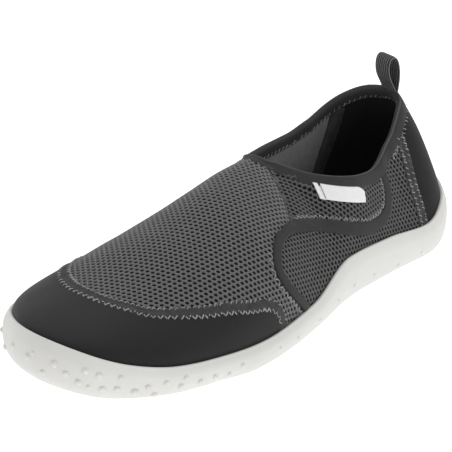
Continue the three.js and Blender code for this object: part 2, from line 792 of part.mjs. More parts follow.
// Cup sole: footbed, inner wall against the upper, rim, bulged side and the tread's base.
function soleBody() {
  const spine = (heightAt) => rays.map((ray) => [ray.px, ray.s, heightAt(ray.s)]);
  const base = (s) => ground(s) + lugDepth;
  const side = (outwards, share) => rays.map((ray) => {
    const [x, s] = outlinePoint(ray, outwards);
    return [x, s, ground(s) + (ray.rim - ground(s)) * share];
  });
  const under = (outwards, heightAt) => rays.map((ray) => {
    const [x, s] = outlinePoint(ray, outwards);
    return [x, s, heightAt(s)];
  });
  const bed = rays.map((ray) => wallPoint(ray, 1, clearance)).map(([x, s]) => [x, s, footbed(s)]);
  const inside = rays.map(({ rimPoint }) => along(rimPoint.p, rimPoint.normal, clearance));
  const crest = rays.map((ray) => {
    const [x, s] = outlinePoint(ray, -rimSetback - rimLip);
    return [x, s, ray.rim + rimLip];
  });
  return ringStack([
    spine(footbed),
    bed,
    inside,
    crest,
    ...SOLE_SIDE.map((row) => side(-row.setback * rimSetback - row.rounding * edgeRounding, row.up)),
    under(-treadInset, ground),
    under(-lugMargin, ground),
    under(-lugMargin - lugDepth, base),
    spine(base),
  ]);
}

// Tread lug: a bar across the sole whose underside follows the ground line, bent back outwards.
function lugBar(s, centre, halfWidth) {
  const half = lugLength / 2;
  const back = (x) => s - lugSweep * Math.abs(x);
  const corners = [-half, half].flatMap((ds) => (
    [-halfWidth, halfWidth].map((dx) => [centre + dx, back(centre + dx) + ds])
  ));
  const level = (lift) => corners.map(([x, at]) => place([x, at, ground(at) + lift]));
  const [a, b, c, d] = level(0);
  const [e, f, g, h] = level(soleThickness / 2);
  return toSolid(closedGeometry([
    ...quad(a, c, d, b), ...quad(e, f, h, g), ...quad(a, b, f, e),
    ...quad(b, d, h, f), ...quad(d, c, g, h), ...quad(c, a, e, g),
  ]));
}

function makeOutsole() {
  let sole = toSolid(soleBody());
  const first = treadStart * soleLength;
  const rows = Math.floor(((treadEnd - treadStart) * soleLength) / lugPitch);
  for (let k = 0; k <= rows; k += 1) {
    const s = first + k * lugPitch;
    const isWaist = s > waistStart * soleLength && s < waistEnd * soleLength;
    if (isWaist) continue;
    const inset = -lugMargin - lugDepth - lugGap / 2;
    const [right] = outlinePoint(makeRay(s, 1, 0), inset);
    const [left] = outlinePoint(makeRay(s, -1, 0), inset);
    const pitch = (right - left + lugGap) / lugColumns;
    for (let c = 0; c < lugColumns; c += 1) {
      const centre = left + (pitch - lugGap) / 2 + c * pitch;
      sole = sole.add(lugBar(s, centre, (pitch - lugGap) / 2));
    }
  }
  return toGeometry(sole);
}

const material = (color, roughness) => new THREE.MeshStandardMaterial({ color, roughness, metalness: 0 });
const whiteRubber = material(0xe6e6e2, 0.6);
const greyMesh = material(0x5f6062, 0.9);
const blackCloth = material(0x2b2b2d, 0.75);
const darkBinding = material(0x3a3b3d, 0.8);
const whiteTab = material(0xe8e8e8, 0.6);

const shoe = new THREE.Group();
function add(name, geometry, finish) {
  geometry.computeVertexNormals();
  const mesh = new THREE.Mesh(geometry, finish);
  mesh.name = name;
  shoe.add(mesh);
}

add('outsole', makeOutsole(), whiteRubber);
add('insole', makeInsole(), blackCloth);
add('upper', makeUpper(), greyMesh);
add('toe_cap', makeToeCap(), blackCloth);
add('toe_seam', makeToeSeam(), darkBinding);
add('heel_counter', makeHeelCounter(), blackCloth);
add('counter_seam_outer', makeCounterSeam(1), darkBinding);
add('counter_seam_inner', makeCounterSeam(-1), darkBinding);
add('side_strap', makeSideStrap(), greyMesh);
add('strap_binding', makeStrapBinding(), darkBinding);
add('collar_binding', makeCollarBinding(), darkBinding);
add('side_label', makeLabel(), whiteTab);
add('pull_loop', makePullLoop(), darkBinding);

export default shoe;
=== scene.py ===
# Water shoe for the left foot, about EU 43, standing empty on its sole: its surfaces, seams and cloth.
# Shapes are worked out in millimetres as (across, along, up): across is + on the foot's outer side,
# along runs from the heel's rear to the toe's tip, up starts at the floor. place() gives metres.

import math

import bmesh
import bpy
import numpy as np
from mathutils import Matrix
from mathutils.bvhtree import BVHTree


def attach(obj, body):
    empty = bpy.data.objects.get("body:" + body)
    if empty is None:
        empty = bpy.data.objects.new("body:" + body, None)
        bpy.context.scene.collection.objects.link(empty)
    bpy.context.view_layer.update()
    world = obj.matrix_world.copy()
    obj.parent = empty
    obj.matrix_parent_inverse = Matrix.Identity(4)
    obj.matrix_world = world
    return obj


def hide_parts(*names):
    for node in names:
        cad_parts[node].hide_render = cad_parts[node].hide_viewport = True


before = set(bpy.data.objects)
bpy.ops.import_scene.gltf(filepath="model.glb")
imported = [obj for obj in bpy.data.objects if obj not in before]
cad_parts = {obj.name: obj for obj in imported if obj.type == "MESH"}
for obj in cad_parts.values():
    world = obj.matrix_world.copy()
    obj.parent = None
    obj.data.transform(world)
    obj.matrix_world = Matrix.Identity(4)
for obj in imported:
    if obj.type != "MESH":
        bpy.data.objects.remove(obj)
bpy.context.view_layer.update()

# Driving sizes of the sole
SOLE_LENGTH = 285.0
BALL_WIDTH = 106.0
SOLE_THICKNESS = 6.0
BUMPER_HEIGHT = 30.0
TOE_SPRING = 7.0
RIM_SETBACK = 2.6
RIM_LIP = 0.5
EDGE_ROUNDING = 3.5
TREAD_INSET = 6.6
LUG_DEPTH = 1.8
LUG_LENGTH = 6.0
LUG_PITCH = 11.0
LUG_MARGIN = 9.0
LUG_GAP = 3.5
LUG_COLUMNS = 3
LUG_SWEEP = 0.12
TREAD_START = 0.07
TREAD_END = 0.9
WAIST = (0.32, 0.5)

# Driving sizes of the upper and its trim
HEEL_HEIGHT = 78.0
INSTEP_HEIGHT = 63.0
TOE_HEIGHT = 40.0
UPPER_INSET = 4.7
WALL_TUCK = 1.0
UPPER_WALL = 2.0
OVERLAY_WALL = 0.15
TOE_SEAM_WIDTH = 5.2
HEEL_SEAM_WIDTH = 7.0
STRAP_WALL = 1.0
STRAP_EDGE_WIDTH = 6.4
STRAP_EDGE_RISE = 1.5
BINDING_WIDTH = 5.2
BINDING_RISE = 0.75
BINDING_GAP = 0.55
BINDING_WALL = 0.8
INSOLE_THICKNESS = 3.0
INSOLE_SLACK = 1.5
CLEARANCE = 0.3
LOOP_WIDTH = 10.0
LOOP_WALL = 1.2
LOOP_TURN = 14.0
LOOP_FACING = 14.0
LOOP_LEAN = 0.12
LOOP_HEIGHT = 0.77

HALF_BALL = BALL_WIDTH / 2
HEEL_PIVOT = 0.165 * SOLE_LENGTH
THROAT = 0.436 * SOLE_LENGTH
TOE_PIVOT = 0.7 * SOLE_LENGTH


def table(columns, rows):
    """A short table as a dictionary from column name to its values."""
    return dict(zip(columns.split(), np.array(rows, float).T))


# The sole's outline, in shares of half the ball width and of the sole's length
OUTLINE = table("across along", [
    (0.03, 0.0), (0.47, 0.038), (0.745, 0.13), (0.755, 0.255), (0.815, 0.4),
    (0.925, 0.534), (1.0, 0.665), (0.97, 0.78), (0.83, 0.89), (0.475, 0.977),
    (-0.1, 1.0), (-0.56, 0.97), (-0.945, 0.89), (-1.0, 0.78), (-0.965, 0.67),
    (-0.785, 0.551), (-0.68, 0.425), (-0.7, 0.275), (-0.715, 0.134), (-0.44, 0.039),
])

# The ridge line over the foot: its height as shares of four heights, and its place across
RIDGE = table("at heel instep toe bumper across", [
    (0.0, 1.15, 0.0, 0.0, 0.0, -0.17),
    (0.165, 1.25, 0.0, 0.0, 0.0, -0.17),
    (0.32, 1.0, 0.35, 0.0, 0.0, -0.11),
    (0.4, 0.36, 0.68, 0.0, 0.0, -0.16),
    (0.44, 0.0, 0.992, 0.0, 0.0, -0.2),
    (0.49, 0.0, 0.99, 0.0, 0.0, -0.18),
    (0.565, 0.0, 0.95, 0.0, 0.0, -0.13),
    (0.7, 0.0, 0.79, 0.0, 0.0, -0.06),
    (0.845, 0.0, 0.0, 0.98, 0.0, -0.07),
    (0.95, 0.0, 0.0, 0.5, 0.54, -0.07),
    (1.0, 0.0, 0.0, 0.0, 1.15, -0.07),
])

# Roundness of the sections: 2 is an ellipse, less is flatter
ROUNDNESS = table("at outer inner", [
    (0.0, 1.2, 1.75), (0.21, 1.1, 2.1), (0.42, 1.35, 2.15), (0.63, 2.0, 1.85), (1.0, 2.1, 2.0),
])

# Height of the sole's rim, in shares of the bumper's height
RIM = table("at outer inner", [
    (0.0, 0.88, 0.98), (0.07, 0.77, 0.92), (0.165, 0.6, 0.83), (0.285, 0.72, 0.81),
    (0.41, 0.81, 0.8), (0.53, 0.47, 0.62), (0.655, 0.41, 0.52), (0.775, 0.475, 0.59),
    (0.88, 0.57, 0.65), (0.95, 0.685, 0.85), (1.0, 0.86, 1.02),
])

# Lift of the tread above the floor, in shares of the toe spring
GROUND = table("at lift", [
    (0.0, 0.54), (0.07, 0.27), (0.15, 0.0), (0.24, 0.0), (0.39, 0.22), (0.52, 0.12),
    (0.6, 0.0), (0.7, 0.0), (0.79, 0.42), (0.91, 0.68), (1.0, 0.93),
])

# Collar height, in shares of the heel's height
COLLAR = table("at outer inner", [
    (0.0, 1.0, 1.0), (0.07, 0.985, 0.965), (0.12, 0.925, 0.865), (0.18, 0.78, 0.765),
    (0.265, 0.675, 0.715), (0.35, 0.72, 0.713), (0.405, 0.762, 0.737),
])

# Edge of the toe cap seen from above, in shares of half the ball width and of the sole's length
CAP_EDGE = table("across along", [
    (1.05, 0.57), (0.89, 0.635), (0.83, 0.71), (0.69, 0.792), (0.47, 0.85), (0.24, 0.872),
    (-0.03, 0.88), (-0.37, 0.87), (-0.66, 0.828), (-0.85, 0.75), (-0.95, 0.65), (-1.1, 0.57),
])

# Seams seen from the side, in shares of the sole's length and of the heel's height: the seam
# before the heel counter, the binding round the strap, the strap's front seam, the lining's seam
COUNTER_SEAM = table("along up", [
    (0.1, 1.04), (0.135, 0.9), (0.155, 0.78), (0.16, 0.62), (0.165, 0.48), (0.165, 0.34),
    (0.168, 0.1),
])
STRAP_EDGE = table("along up", [
    (0.24, 0.72), (0.24, 0.6), (0.247, 0.49), (0.272, 0.405), (0.32, 0.39), (0.37, 0.435),
    (0.435, 0.51), (0.5, 0.57), (0.545, 0.578), (0.577, 0.55), (0.6, 0.48), (0.6, 0.4),
    (0.575, 0.28), (0.53, 0.1),
])
STRAP_FRONT = table("along up", [(0.4, 0.93), (0.437, 0.78), (0.468, 0.69), (0.497, 0.6)])
LINING_SEAM = table("along up", [(0.128, 0.9), (0.126, 0.68), (0.134, 0.52), (0.15, 0.36), (0.165, 0.2)])

# Section of the sole's side from the rim down, as shares of setback, rounding and rim height
SOLE_SIDE = table("setback rounding up", [
    (1.0, 0.0, 0.985), (0.72, 0.0, 0.93), (0.2, 0.0, 0.75), (0.0, 0.0, 0.5),
    (0.0, 0.15, 0.28), (0.0, 0.55, 0.15), (0.0, 1.0, 0.08),
])

# Section of the pull loop: how far out from the collar's edge and how high above it
LOOP = table("out up", [
    (-0.5, -3.0), (-0.2, 0.5), (0.9, 7.0), (1.3, 14.0), (0.4, 20.5), (-1.8, 23.6), (-4.4, 22.0),
    (-5.6, 17.0), (-5.2, 10.5), (-3.2, 4.5), (-1.9, 0.5), (-1.6, -3.0),
])


def curve_through(xs, ys):
    """Curve through a table's column that doesn't overshoot its rows (monotone cubic)."""
    xs, ys = np.asarray(xs, float), np.asarray(ys, float)
    step = np.diff(xs)
    rise = np.diff(ys) / step
    slope = np.concatenate([rise[:1], np.zeros(len(xs) - 2), rise[-1:]])
    for i in range(1, len(xs) - 1):
        if rise[i - 1] * rise[i] > 0:
            a = 2 * step[i] + step[i - 1]
            b = step[i] + 2 * step[i - 1]
            slope[i] = (a + b) / (a / rise[i - 1] + b / rise[i])

    def at(x):
        x = np.clip(x, xs[0], xs[-1])
        i = np.clip(np.searchsorted(xs, x, "right") - 1, 0, len(xs) - 2)
        t = (x - xs[i]) / step[i]
        u = 1 - t
        return (ys[i] * (1 + 2 * t) * u * u + ys[i + 1] * (3 - 2 * t) * t * t
                + step[i] * (slope[i] * t * u * u - slope[i + 1] * t * t * u))
    return at


def column(rows, values):
    return curve_through(rows["at"] * SOLE_LENGTH, values)


ridge_height = column(RIDGE, RIDGE["heel"] * HEEL_HEIGHT + RIDGE["instep"] * INSTEP_HEIGHT
                      + RIDGE["toe"] * TOE_HEIGHT + RIDGE["bumper"] * BUMPER_HEIGHT)
ridge_across = column(RIDGE, RIDGE["across"] * HALF_BALL)
round_outer = column(ROUNDNESS, ROUNDNESS["outer"])
round_inner = column(ROUNDNESS, ROUNDNESS["inner"])
rim_outer = column(RIM, RIM["outer"] * BUMPER_HEIGHT)
rim_inner = column(RIM, RIM["inner"] * BUMPER_HEIGHT)
ground = column(GROUND, GROUND["lift"] * TOE_SPRING)


def collar_edge(side):
    xs = np.append(COLLAR["at"] * SOLE_LENGTH, THROAT)
    crest = BINDING_GAP + BINDING_WALL
    return curve_through(xs, np.append(COLLAR[side] * HEEL_HEIGHT - crest, ridge_height(THROAT)))


collar_outer = collar_edge("outer")
collar_inner = collar_edge("inner")


def footbed(s):
    return ground(s) + SOLE_THICKNESS


def seat(s):
    return footbed(s) + CLEARANCE


def smooth_path(points, steps, closed=False):
    """Smooth curve through a few points (Catmull-Rom), with some steps between each two."""
    points = np.asarray(points, float)
    n = len(points)
    spans = n if closed else n - 1
    t = (np.arange(steps) / steps)[:, None]
    out = []
    for i in range(spans):
        near = [(i + k) % n if closed else min(max(i + k, 0), n - 1) for k in (-1, 0, 1, 2)]
        p0, p1, p2, p3 = points[near]
        out.append(0.5 * (2 * p1 + (p2 - p0) * t + (2 * p0 - 5 * p1 + 4 * p2 - p3) * t * t
                          + (3 * p1 - p0 - 3 * p2 + p3) * t ** 3))
    if not closed:
        out.append(points[-1:])
    return np.concatenate(out)


outline = smooth_path(np.stack([OUTLINE["across"] * HALF_BALL, OUTLINE["along"] * SOLE_LENGTH], 1),
                      12, closed=True)
MAX_SLANT = 1.3


def reach_to_outline(px, s, dx, ds):
    """Length of level rays from a pivot to the outline, and how slanted they meet it."""
    a = outline
    e = np.roll(outline, -1, 0) - outline
    px, s, dx, ds = (v[:, None] for v in (px, s, dx, ds))
    with np.errstate(divide="ignore", invalid="ignore"):
        det = ds * e[:, 0] - dx * e[:, 1]
        t = (e[:, 0] * (a[:, 1] - s) - e[:, 1] * (a[:, 0] - px)) / det
        w = (dx * (a[:, 1] - s) - ds * (a[:, 0] - px)) / det
    t = np.where((w >= 0) & (w <= 1) & (t > 0) & np.isfinite(t), t, -1)
    k = t.argmax(1)
    row = np.arange(len(k))
    turned = np.abs(e[k, 1] * dx[:, 0] - e[k, 0] * ds[:, 0])
    return t[row, k], np.minimum(MAX_SLANT, np.hypot(e[k, 0], e[k, 1]) / turned)


# Reach of the rays, worked out once for many stations and angles
STATIONS = np.linspace(HEEL_PIVOT, TOE_PIVOT, 400)
TURNS = np.linspace(-math.pi / 2, math.pi / 2, 500)
_one = np.ones(400)
_all = np.ones(500)
REACH_OUTER = reach_to_outline(ridge_across(STATIONS), STATIONS, _one, 0 * _one)
REACH_INNER = reach_to_outline(ridge_across(STATIONS), STATIONS, -_one, 0 * _one)
REACH_TOE = reach_to_outline(ridge_across(TOE_PIVOT) * _all, TOE_PIVOT * _all,
                             np.sin(TURNS), np.cos(TURNS))
REACH_HEEL = reach_to_outline(ridge_across(HEEL_PIVOT) * _all, HEEL_PIVOT * _all,
                              np.sin(TURNS), -np.cos(TURNS))


class Rays:
    """Level rays from the ridge line out to the sole's outline: square to the foot's length beside
    it, fanned out from two end pivots round the toe and the heel."""

    def __init__(self, s, dx, ds):
        self.s, self.dx, self.ds = np.broadcast_arrays(*(np.asarray(v, float) for v in (s, dx, ds)))
        self.px = ridge_across(self.s)
        turn = np.arcsin(np.clip(self.dx, -1, 1))
        found = []
        for k in (0, 1):
            beside = np.where(self.dx > 0, np.interp(self.s, STATIONS, REACH_OUTER[k]),
                              np.interp(self.s, STATIONS, REACH_INNER[k]))
            ahead = np.interp(turn, TURNS, REACH_TOE[k])
            behind = np.interp(turn, TURNS, REACH_HEEL[k])
            found.append(np.where(self.ds > 0, ahead, np.where(self.ds < 0, behind, beside)))
        self.reach, self.slant = found
        end = self.s + self.reach * self.ds
        self.side = 0.5 + 0.5 * self.dx
        self.rim = self.side * rim_outer(end) + (1 - self.side) * rim_inner(end)
        self.round = self.side * round_outer(end) + (1 - self.side) * round_inner(end)
        self.base = np.stack([self.px, self.s, self.rim], -1)
        self.width = self.reach - UPPER_INSET * self.slant

    def at(self, out, z):
        return np.stack([self.px + out * self.dx, self.s + out * self.ds, z + 0 * out], -1)

    def outline(self, outwards, z_of):
        out = self.reach + outwards * self.slant
        return self.at(out, z_of(self.s + out * self.ds))

    def form(self, v):
        """Point of the upper's form: v is 0 at the sole's rim and 90 degrees on the ridge."""
        out = self.width * np.maximum(0, np.cos(v)) ** (2 / self.round)
        up = np.sin(v) ** (2 / self.round)
        return self.at(out, self.rim + (ridge_height(self.s + out * self.ds) - self.rim) * up)

    def wall(self, depth, grow):
        """Point of the wall inside the sole's rim: depth 0 is at the rim, 1 on the seat."""
        out = self.reach + (grow - UPPER_INSET) * self.slant - depth * WALL_TUCK
        return self.at(out, self.rim - depth * (self.rim - seat(self.s + out * self.ds)))


def rays_under(p):
    """The rays that run under points, and how far out the points lie on them."""
    x, s = p[..., 0], p[..., 1]
    pivot = np.clip(s, HEEL_PIVOT, TOE_PIVOT)
    ex = x - ridge_across(pivot)
    es = s - pivot
    length = np.maximum(np.hypot(ex, es), 1e-9)
    beside = (s > HEEL_PIVOT) & (s < TOE_PIVOT)
    dx = np.where(beside, np.where(ex < 0, -1.0, 1.0), ex / length)
    ds = np.where(beside, 0.0, es / length)
    return Rays(pivot, dx, ds), length


def level_of(p):
    """1 on the upper's form, less inside it."""
    ray, length = rays_under(p)
    up = np.maximum(0, p[..., 2] - ray.rim) / (ridge_height(p[..., 1]) - ray.rim)
    return ((length / ray.width) ** ray.round + up ** ray.round) ** (1 / ray.round)


def onto_form(p, rounds=5):
    for _ in range(rounds):
        ray, _length = rays_under(p)
        p = ray.base + (p - ray.base) / level_of(p)[..., None]
    return p


def unit(v):
    return v / np.maximum(np.linalg.norm(v, axis=-1, keepdims=True), 1e-12)


PROBE = 0.2


def form_normal(p):
    steps = np.eye(3) * PROBE
    return unit(np.stack([level_of(p + d) - level_of(p - d) for d in steps], -1))


def side_point(s, z, side):
    """Point of the form on one side of the foot, from its place in the side view."""
    s, z = np.broadcast_arrays(np.asarray(s, float), np.asarray(z, float))
    low = np.zeros(s.shape)
    high = np.full(s.shape, BALL_WIDTH * 0.7)
    px = ridge_across(np.clip(s, HEEL_PIVOT, TOE_PIVOT))
    for _ in range(36):
        middle = (low + high) / 2
        inside = level_of(np.stack([px + side * middle, s, z], -1)) < 1
        low = np.where(inside, middle, low)
        high = np.where(inside, high, middle)
    return np.stack([px + side * low, s, z], -1)


def angle_at(rays, height_of):
    """Angle at which the form rises past a height given for each side and station."""
    low = np.zeros(rays.s.shape)
    high = np.full(rays.s.shape, math.pi / 2)
    for _ in range(40):
        middle = (low + high) / 2
        p = rays.form(middle)
        below = p[..., 2] < height_of(rays, p[..., 1])
        low = np.where(below, middle, low)
        high = np.where(below, high, middle)
    return low


def collar_height(rays, s):
    return rays.side * collar_outer(s) + (1 - rays.side) * collar_inner(s)


def resample(path, step, closed=False):
    """Points at even steps along a path."""
    if closed:
        path = np.concatenate([path, path[:1]])
    length = np.concatenate([[0], np.cumsum(np.linalg.norm(np.diff(path, axis=0), axis=1))])
    count = max(2, int(round(length[-1] / step)))
    goals = np.linspace(0, length[-1], count + 1)
    out = np.stack([np.interp(goals, length, path[:, k]) for k in range(path.shape[1])], 1)
    return out[:-1] if closed else out


def side_path(rows, side, step=1.0):
    """A seam of the side view, laid on the form."""
    flat = smooth_path(np.stack([rows["along"] * SOLE_LENGTH, rows["up"] * HEEL_HEIGHT], 1), 8)
    return resample(side_point(flat[:, 0], flat[:, 1], side), step)


def distance_to(path, p):
    """Distance from points to the nearest point of a path."""
    best = np.full(p.shape[:-1], 1e9)
    for q in path:
        best = np.minimum(best, np.linalg.norm(p - q, axis=-1))
    return best


# The collar's edge as a loop from the throat round the inner side, the heel and the outer side,
# with the direction that leads away from the opening
def collar_loop():
    spread = THROAT - (THROAT - HEEL_PIVOT) * (1 - np.linspace(0, 1, 61)) ** 2
    fan = np.linspace(-math.pi / 2, math.pi / 2, 47)[1:-1]
    s = np.concatenate([spread[::-1][1:], np.full(len(fan), HEEL_PIVOT), spread[:-1]])
    dx = np.concatenate([np.full(60, -1.0), np.sin(fan), np.full(60, 1.0)])
    ds = np.concatenate([np.zeros(60), -np.cos(fan), np.zeros(60)])
    rays = Rays(s, dx, ds)
    edge = rays.form(angle_at(rays, collar_height))
    top = Rays(THROAT, 1.0, 0.0).form(math.pi / 2)
    edge = resample(np.concatenate([top[None], edge]), 1.0, closed=True)
    edge = onto_form(edge)
    tangent = unit(np.roll(edge, -1, 0) - np.roll(edge, 1, 0))
    normal = form_normal(edge)
    away = unit(np.cross(normal, tangent))
    ahead = edge - edge.mean(0)
    flip = np.sign(away[:, 0] * ahead[:, 0] + away[:, 1] * ahead[:, 1] - 20 * away[:, 2])
    return edge, normal, away * flip[:, None]


collar, collar_normal, collar_away = collar_loop()

# Folds and creases, drawn from the side: a trough is below 0 and a ridge above, in millimetres
FOLDS = [
    dict(side=1, depth=-1.5, width=13.0, path=[(0.06, 0.86), (0.035, 0.66), (0.03, 0.46)]),
    dict(side=1, depth=-0.9, width=2.2, path=[(0.43, 0.8), (0.468, 0.69), (0.5, 0.6)]),
    dict(side=1, depth=0.5, width=5.0, path=[(0.45, 0.84), (0.49, 0.72), (0.53, 0.63)]),
    dict(side=1, depth=-0.5, width=5.0, path=[(0.64, 0.5), (0.63, 0.36), (0.6, 0.22)]),
    dict(side=1, depth=-0.45, width=4.0, path=[(0.2, 0.74), (0.205, 0.6), (0.2, 0.42)]),
    dict(side=1, depth=-0.5, width=6.0, path=[(0.42, 0.42), (0.49, 0.36), (0.55, 0.3)]),
    dict(side=-1, depth=-0.6, width=6.0, path=[(0.3, 0.56), (0.42, 0.5), (0.5, 0.4)]),
    dict(side=-1, depth=-0.6, width=5.0, path=[(0.19, 0.7), (0.2, 0.55), (0.19, 0.42)]),
]
for fold in FOLDS:
    flat = smooth_path(np.array(fold["path"]) * (SOLE_LENGTH, HEEL_HEIGHT), 6)
    fold["line"] = side_point(flat[:, 0], flat[:, 1], fold["side"])


def relief(p):
    """Height of the folds above the form."""
    out = np.zeros(p.shape[:-1])
    for fold in FOLDS:
        away = distance_to(fold["line"], p) / fold["width"]
        out += fold["depth"] * np.exp(-away ** 2)
    return out


def lifted(p, grow):
    """Points on the form moved out along its normal, over the folds."""
    return p + form_normal(p) * (grow + relief(p))[..., None]


# Meshes
def place(p):
    p = np.asarray(p, float)
    return np.stack([p[..., 0], SOLE_LENGTH / 2 - p[..., 1], p[..., 2]], -1) * 0.001


def grid_faces(rows, cols, closed=False):
    i, j = np.meshgrid(np.arange(rows - 1), np.arange(cols if closed else cols - 1), indexing="ij")
    k = (j + 1) % cols
    return np.stack([i * cols + j, i * cols + k, (i + 1) * cols + k, (i + 1) * cols + j], -1).reshape(-1, 4)


def thicken(outer, inner, faces):
    """Closed sheet between two faces that share their layout."""
    n = len(outer)
    edges = {}
    for f in faces.tolist():
        for a, b in zip(f, f[1:] + f[:1]):
            edges[(a, b)] = True
    rim = [(a, b) for a, b in edges if (b, a) not in edges and a != b]
    walls = [(b, a, a + n, b + n) for a, b in rim]
    turned = (faces[:, ::-1] + n).tolist()
    return np.concatenate([outer, inner]), faces.tolist() + turned + walls


def mesh_object(name, points, faces, finishes, which=None, closed=True, smooth=True):
    """A piece from points in millimetres. which gives each face's material."""
    mesh = bpy.data.meshes.new(name)
    mesh.from_pydata(place(points).tolist(), [], [tuple(f) for f in faces])
    for finish in finishes:
        mesh.materials.append(finish)
    if which is not None:
        mesh.polygons.foreach_set("material_index", np.asarray(which, np.int32))
    bm = bmesh.new()
    bm.from_mesh(mesh)
    bmesh.ops.remove_doubles(bm, verts=bm.verts, dist=2e-6)
    bmesh.ops.dissolve_degenerate(bm, edges=bm.edges, dist=1e-6)
    if closed:
        bmesh.ops.recalc_face_normals(bm, faces=bm.faces)
    bm.to_mesh(mesh)
    bm.free()
    if smooth:
        mesh.shade_smooth()
    piece = bpy.data.objects.new(name, mesh)
    bpy.context.scene.collection.objects.link(piece)
    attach(piece, "root")
    return piece


def sweep(corners, closed_path):
    """Tube of a closed profile: corners is (profile, path, 3). Open ends are capped."""
    m, n = corners.shape[:2]
    points = corners.reshape(-1, 3)
    faces = []
    for i in range(m):
        k = (i + 1) % m
        for j in range(n if closed_path else n - 1):
            l = (j + 1) % n
            faces.append((i * n + j, i * n + l, k * n + l, k * n + j))
    if not closed_path:
        faces.append(tuple(i * n for i in range(m)))
        faces.append(tuple(i * n + n - 1 for i in reversed(range(m))))
    return points, faces


def band(path, profile, side=1, closed=False, taper=0.0, widths=1.0):
    """A tape laid on the form along a path; its profile lists reach sideways and height."""
    tangent = unit(np.gradient(path, axis=0))
    across = unit(np.cross(form_normal(path), tangent)) * side
    scale = np.ones(len(path))
    if taper:
        run = np.concatenate([[0], np.cumsum(np.linalg.norm(np.diff(path, axis=0), axis=1))])
        ends = np.minimum(run, run[-1] - run)
        scale = 0.25 + 0.75 * np.clip(ends / taper, 0, 1) ** 0.5
    corners = []
    for reach, grow in profile:
        p = onto_form(path + across * reach * np.reshape(widths, (-1, 1)))
        corners.append(lifted(p, grow * scale))
    return sweep(np.array(corners), closed)


def join(parts):
    """Several (points, faces) as one."""
    points, faces, first = [], [], 0
    for p, f in parts:
        points.append(p)
        faces += [tuple(i + first for i in face) for face in f]
        first += len(p)
    return np.concatenate(points), faces


# Materials
def shader(name, colour, roughness, sheen=0.0, specular=0.5):
    material = bpy.data.materials.new(name)
    material.use_nodes = True
    nodes = material.node_tree.nodes
    bsdf = nodes["Principled BSDF"]
    bsdf.inputs["Base Color"].default_value = (*colour, 1)
    bsdf.inputs["Roughness"].default_value = roughness
    bsdf.inputs["Sheen Weight"].default_value = sheen
    bsdf.inputs["Sheen Roughness"].default_value = 0.45
    bsdf.inputs["Specular IOR Level"].default_value = specular
    return material, bsdf


def texture(material, kind, scale, **settings):
    tree = material.node_tree
    where = tree.nodes.new("ShaderNodeTexCoord")
    node = tree.nodes.new(kind)
    node.inputs["Scale"].default_value = scale
    for key, value in settings.items():
        if key in node.inputs:
            node.inputs[key].default_value = value
        else:
            setattr(node, key, value)
    tree.links.new(where.outputs["Object"], node.inputs["Vector"])
    return node


def mottle(material, bsdf, dark, light, scale, detail=4.0):
    """Uneven colour between two tones."""
    tree = material.node_tree
    noise = texture(material, "ShaderNodeTexNoise", scale, Detail=detail, Roughness=0.6)
    ramp = tree.nodes.new("ShaderNodeValToRGB")
    ramp.color_ramp.elements[0].position = 0.3
    ramp.color_ramp.elements[1].position = 0.7
    ramp.color_ramp.elements[0].color = (*dark, 1)
    ramp.color_ramp.elements[1].color = (*light, 1)
    tree.links.new(noise.outputs["Fac"], ramp.inputs["Fac"])
    tree.links.new(ramp.outputs["Color"], bsdf.inputs["Base Color"])


def bump(material, bsdf, heights, distance, strength=1.0):
    """Surface relief from the sum of some textures' values."""
    tree = material.node_tree
    total = heights[0]
    for more in heights[1:]:
        add = tree.nodes.new("ShaderNodeMath")
        add.operation = "ADD"
        tree.links.new(total, add.inputs[0])
        tree.links.new(more, add.inputs[1])
        total = add.outputs[0]
    node = tree.nodes.new("ShaderNodeBump")
    node.inputs["Distance"].default_value = distance
    node.inputs["Strength"].default_value = strength
    tree.links.new(total, node.inputs["Height"])
    tree.links.new(node.outputs["Normal"], bsdf.inputs["Normal"])


def grey(value, warm=0.0):
    return (value * (1 + warm), value, value * (1 - warm))


def cloth(name, value, roughness=0.85, sheen=0.2, knit=2600.0, spread=0.12, depth=0.00008):
    """Knitted cloth: fine loops, a soft nap and slightly uneven dye."""
    material, bsdf = shader(name, grey(value), roughness, sheen, 0.3)
    mottle(material, bsdf, grey(value * (1 - spread)), grey(value * (1 + spread)), 260.0)
    loops = texture(material, "ShaderNodeTexVoronoi", knit)
    nap = texture(material, "ShaderNodeTexNoise", knit * 0.7, Detail=3.0)
    bump(material, bsdf, [loops.outputs["Distance"], nap.outputs["Fac"]], depth)
    return material


def rubber(name):
    material, bsdf = shader(name, (0.68, 0.675, 0.65), 0.55, 0.0, 0.4)
    mottle(material, bsdf, (0.66, 0.655, 0.63), (0.7, 0.697, 0.675), 30.0)
    grain = texture(material, "ShaderNodeTexNoise", 900.0, Detail=4.0)
    bump(material, bsdf, [grain.outputs["Fac"]], 0.00012, 0.6)
    return material


def ribbed_tape(name, value):
    material, bsdf = shader(name, grey(value), 0.8, 0.25, 0.3)
    mottle(material, bsdf, grey(value * 0.8), grey(value * 1.25), 900.0)
    yarn = texture(material, "ShaderNodeTexVoronoi", 1700.0)
    bump(material, bsdf, [yarn.outputs["Distance"]], 0.00015)
    return material


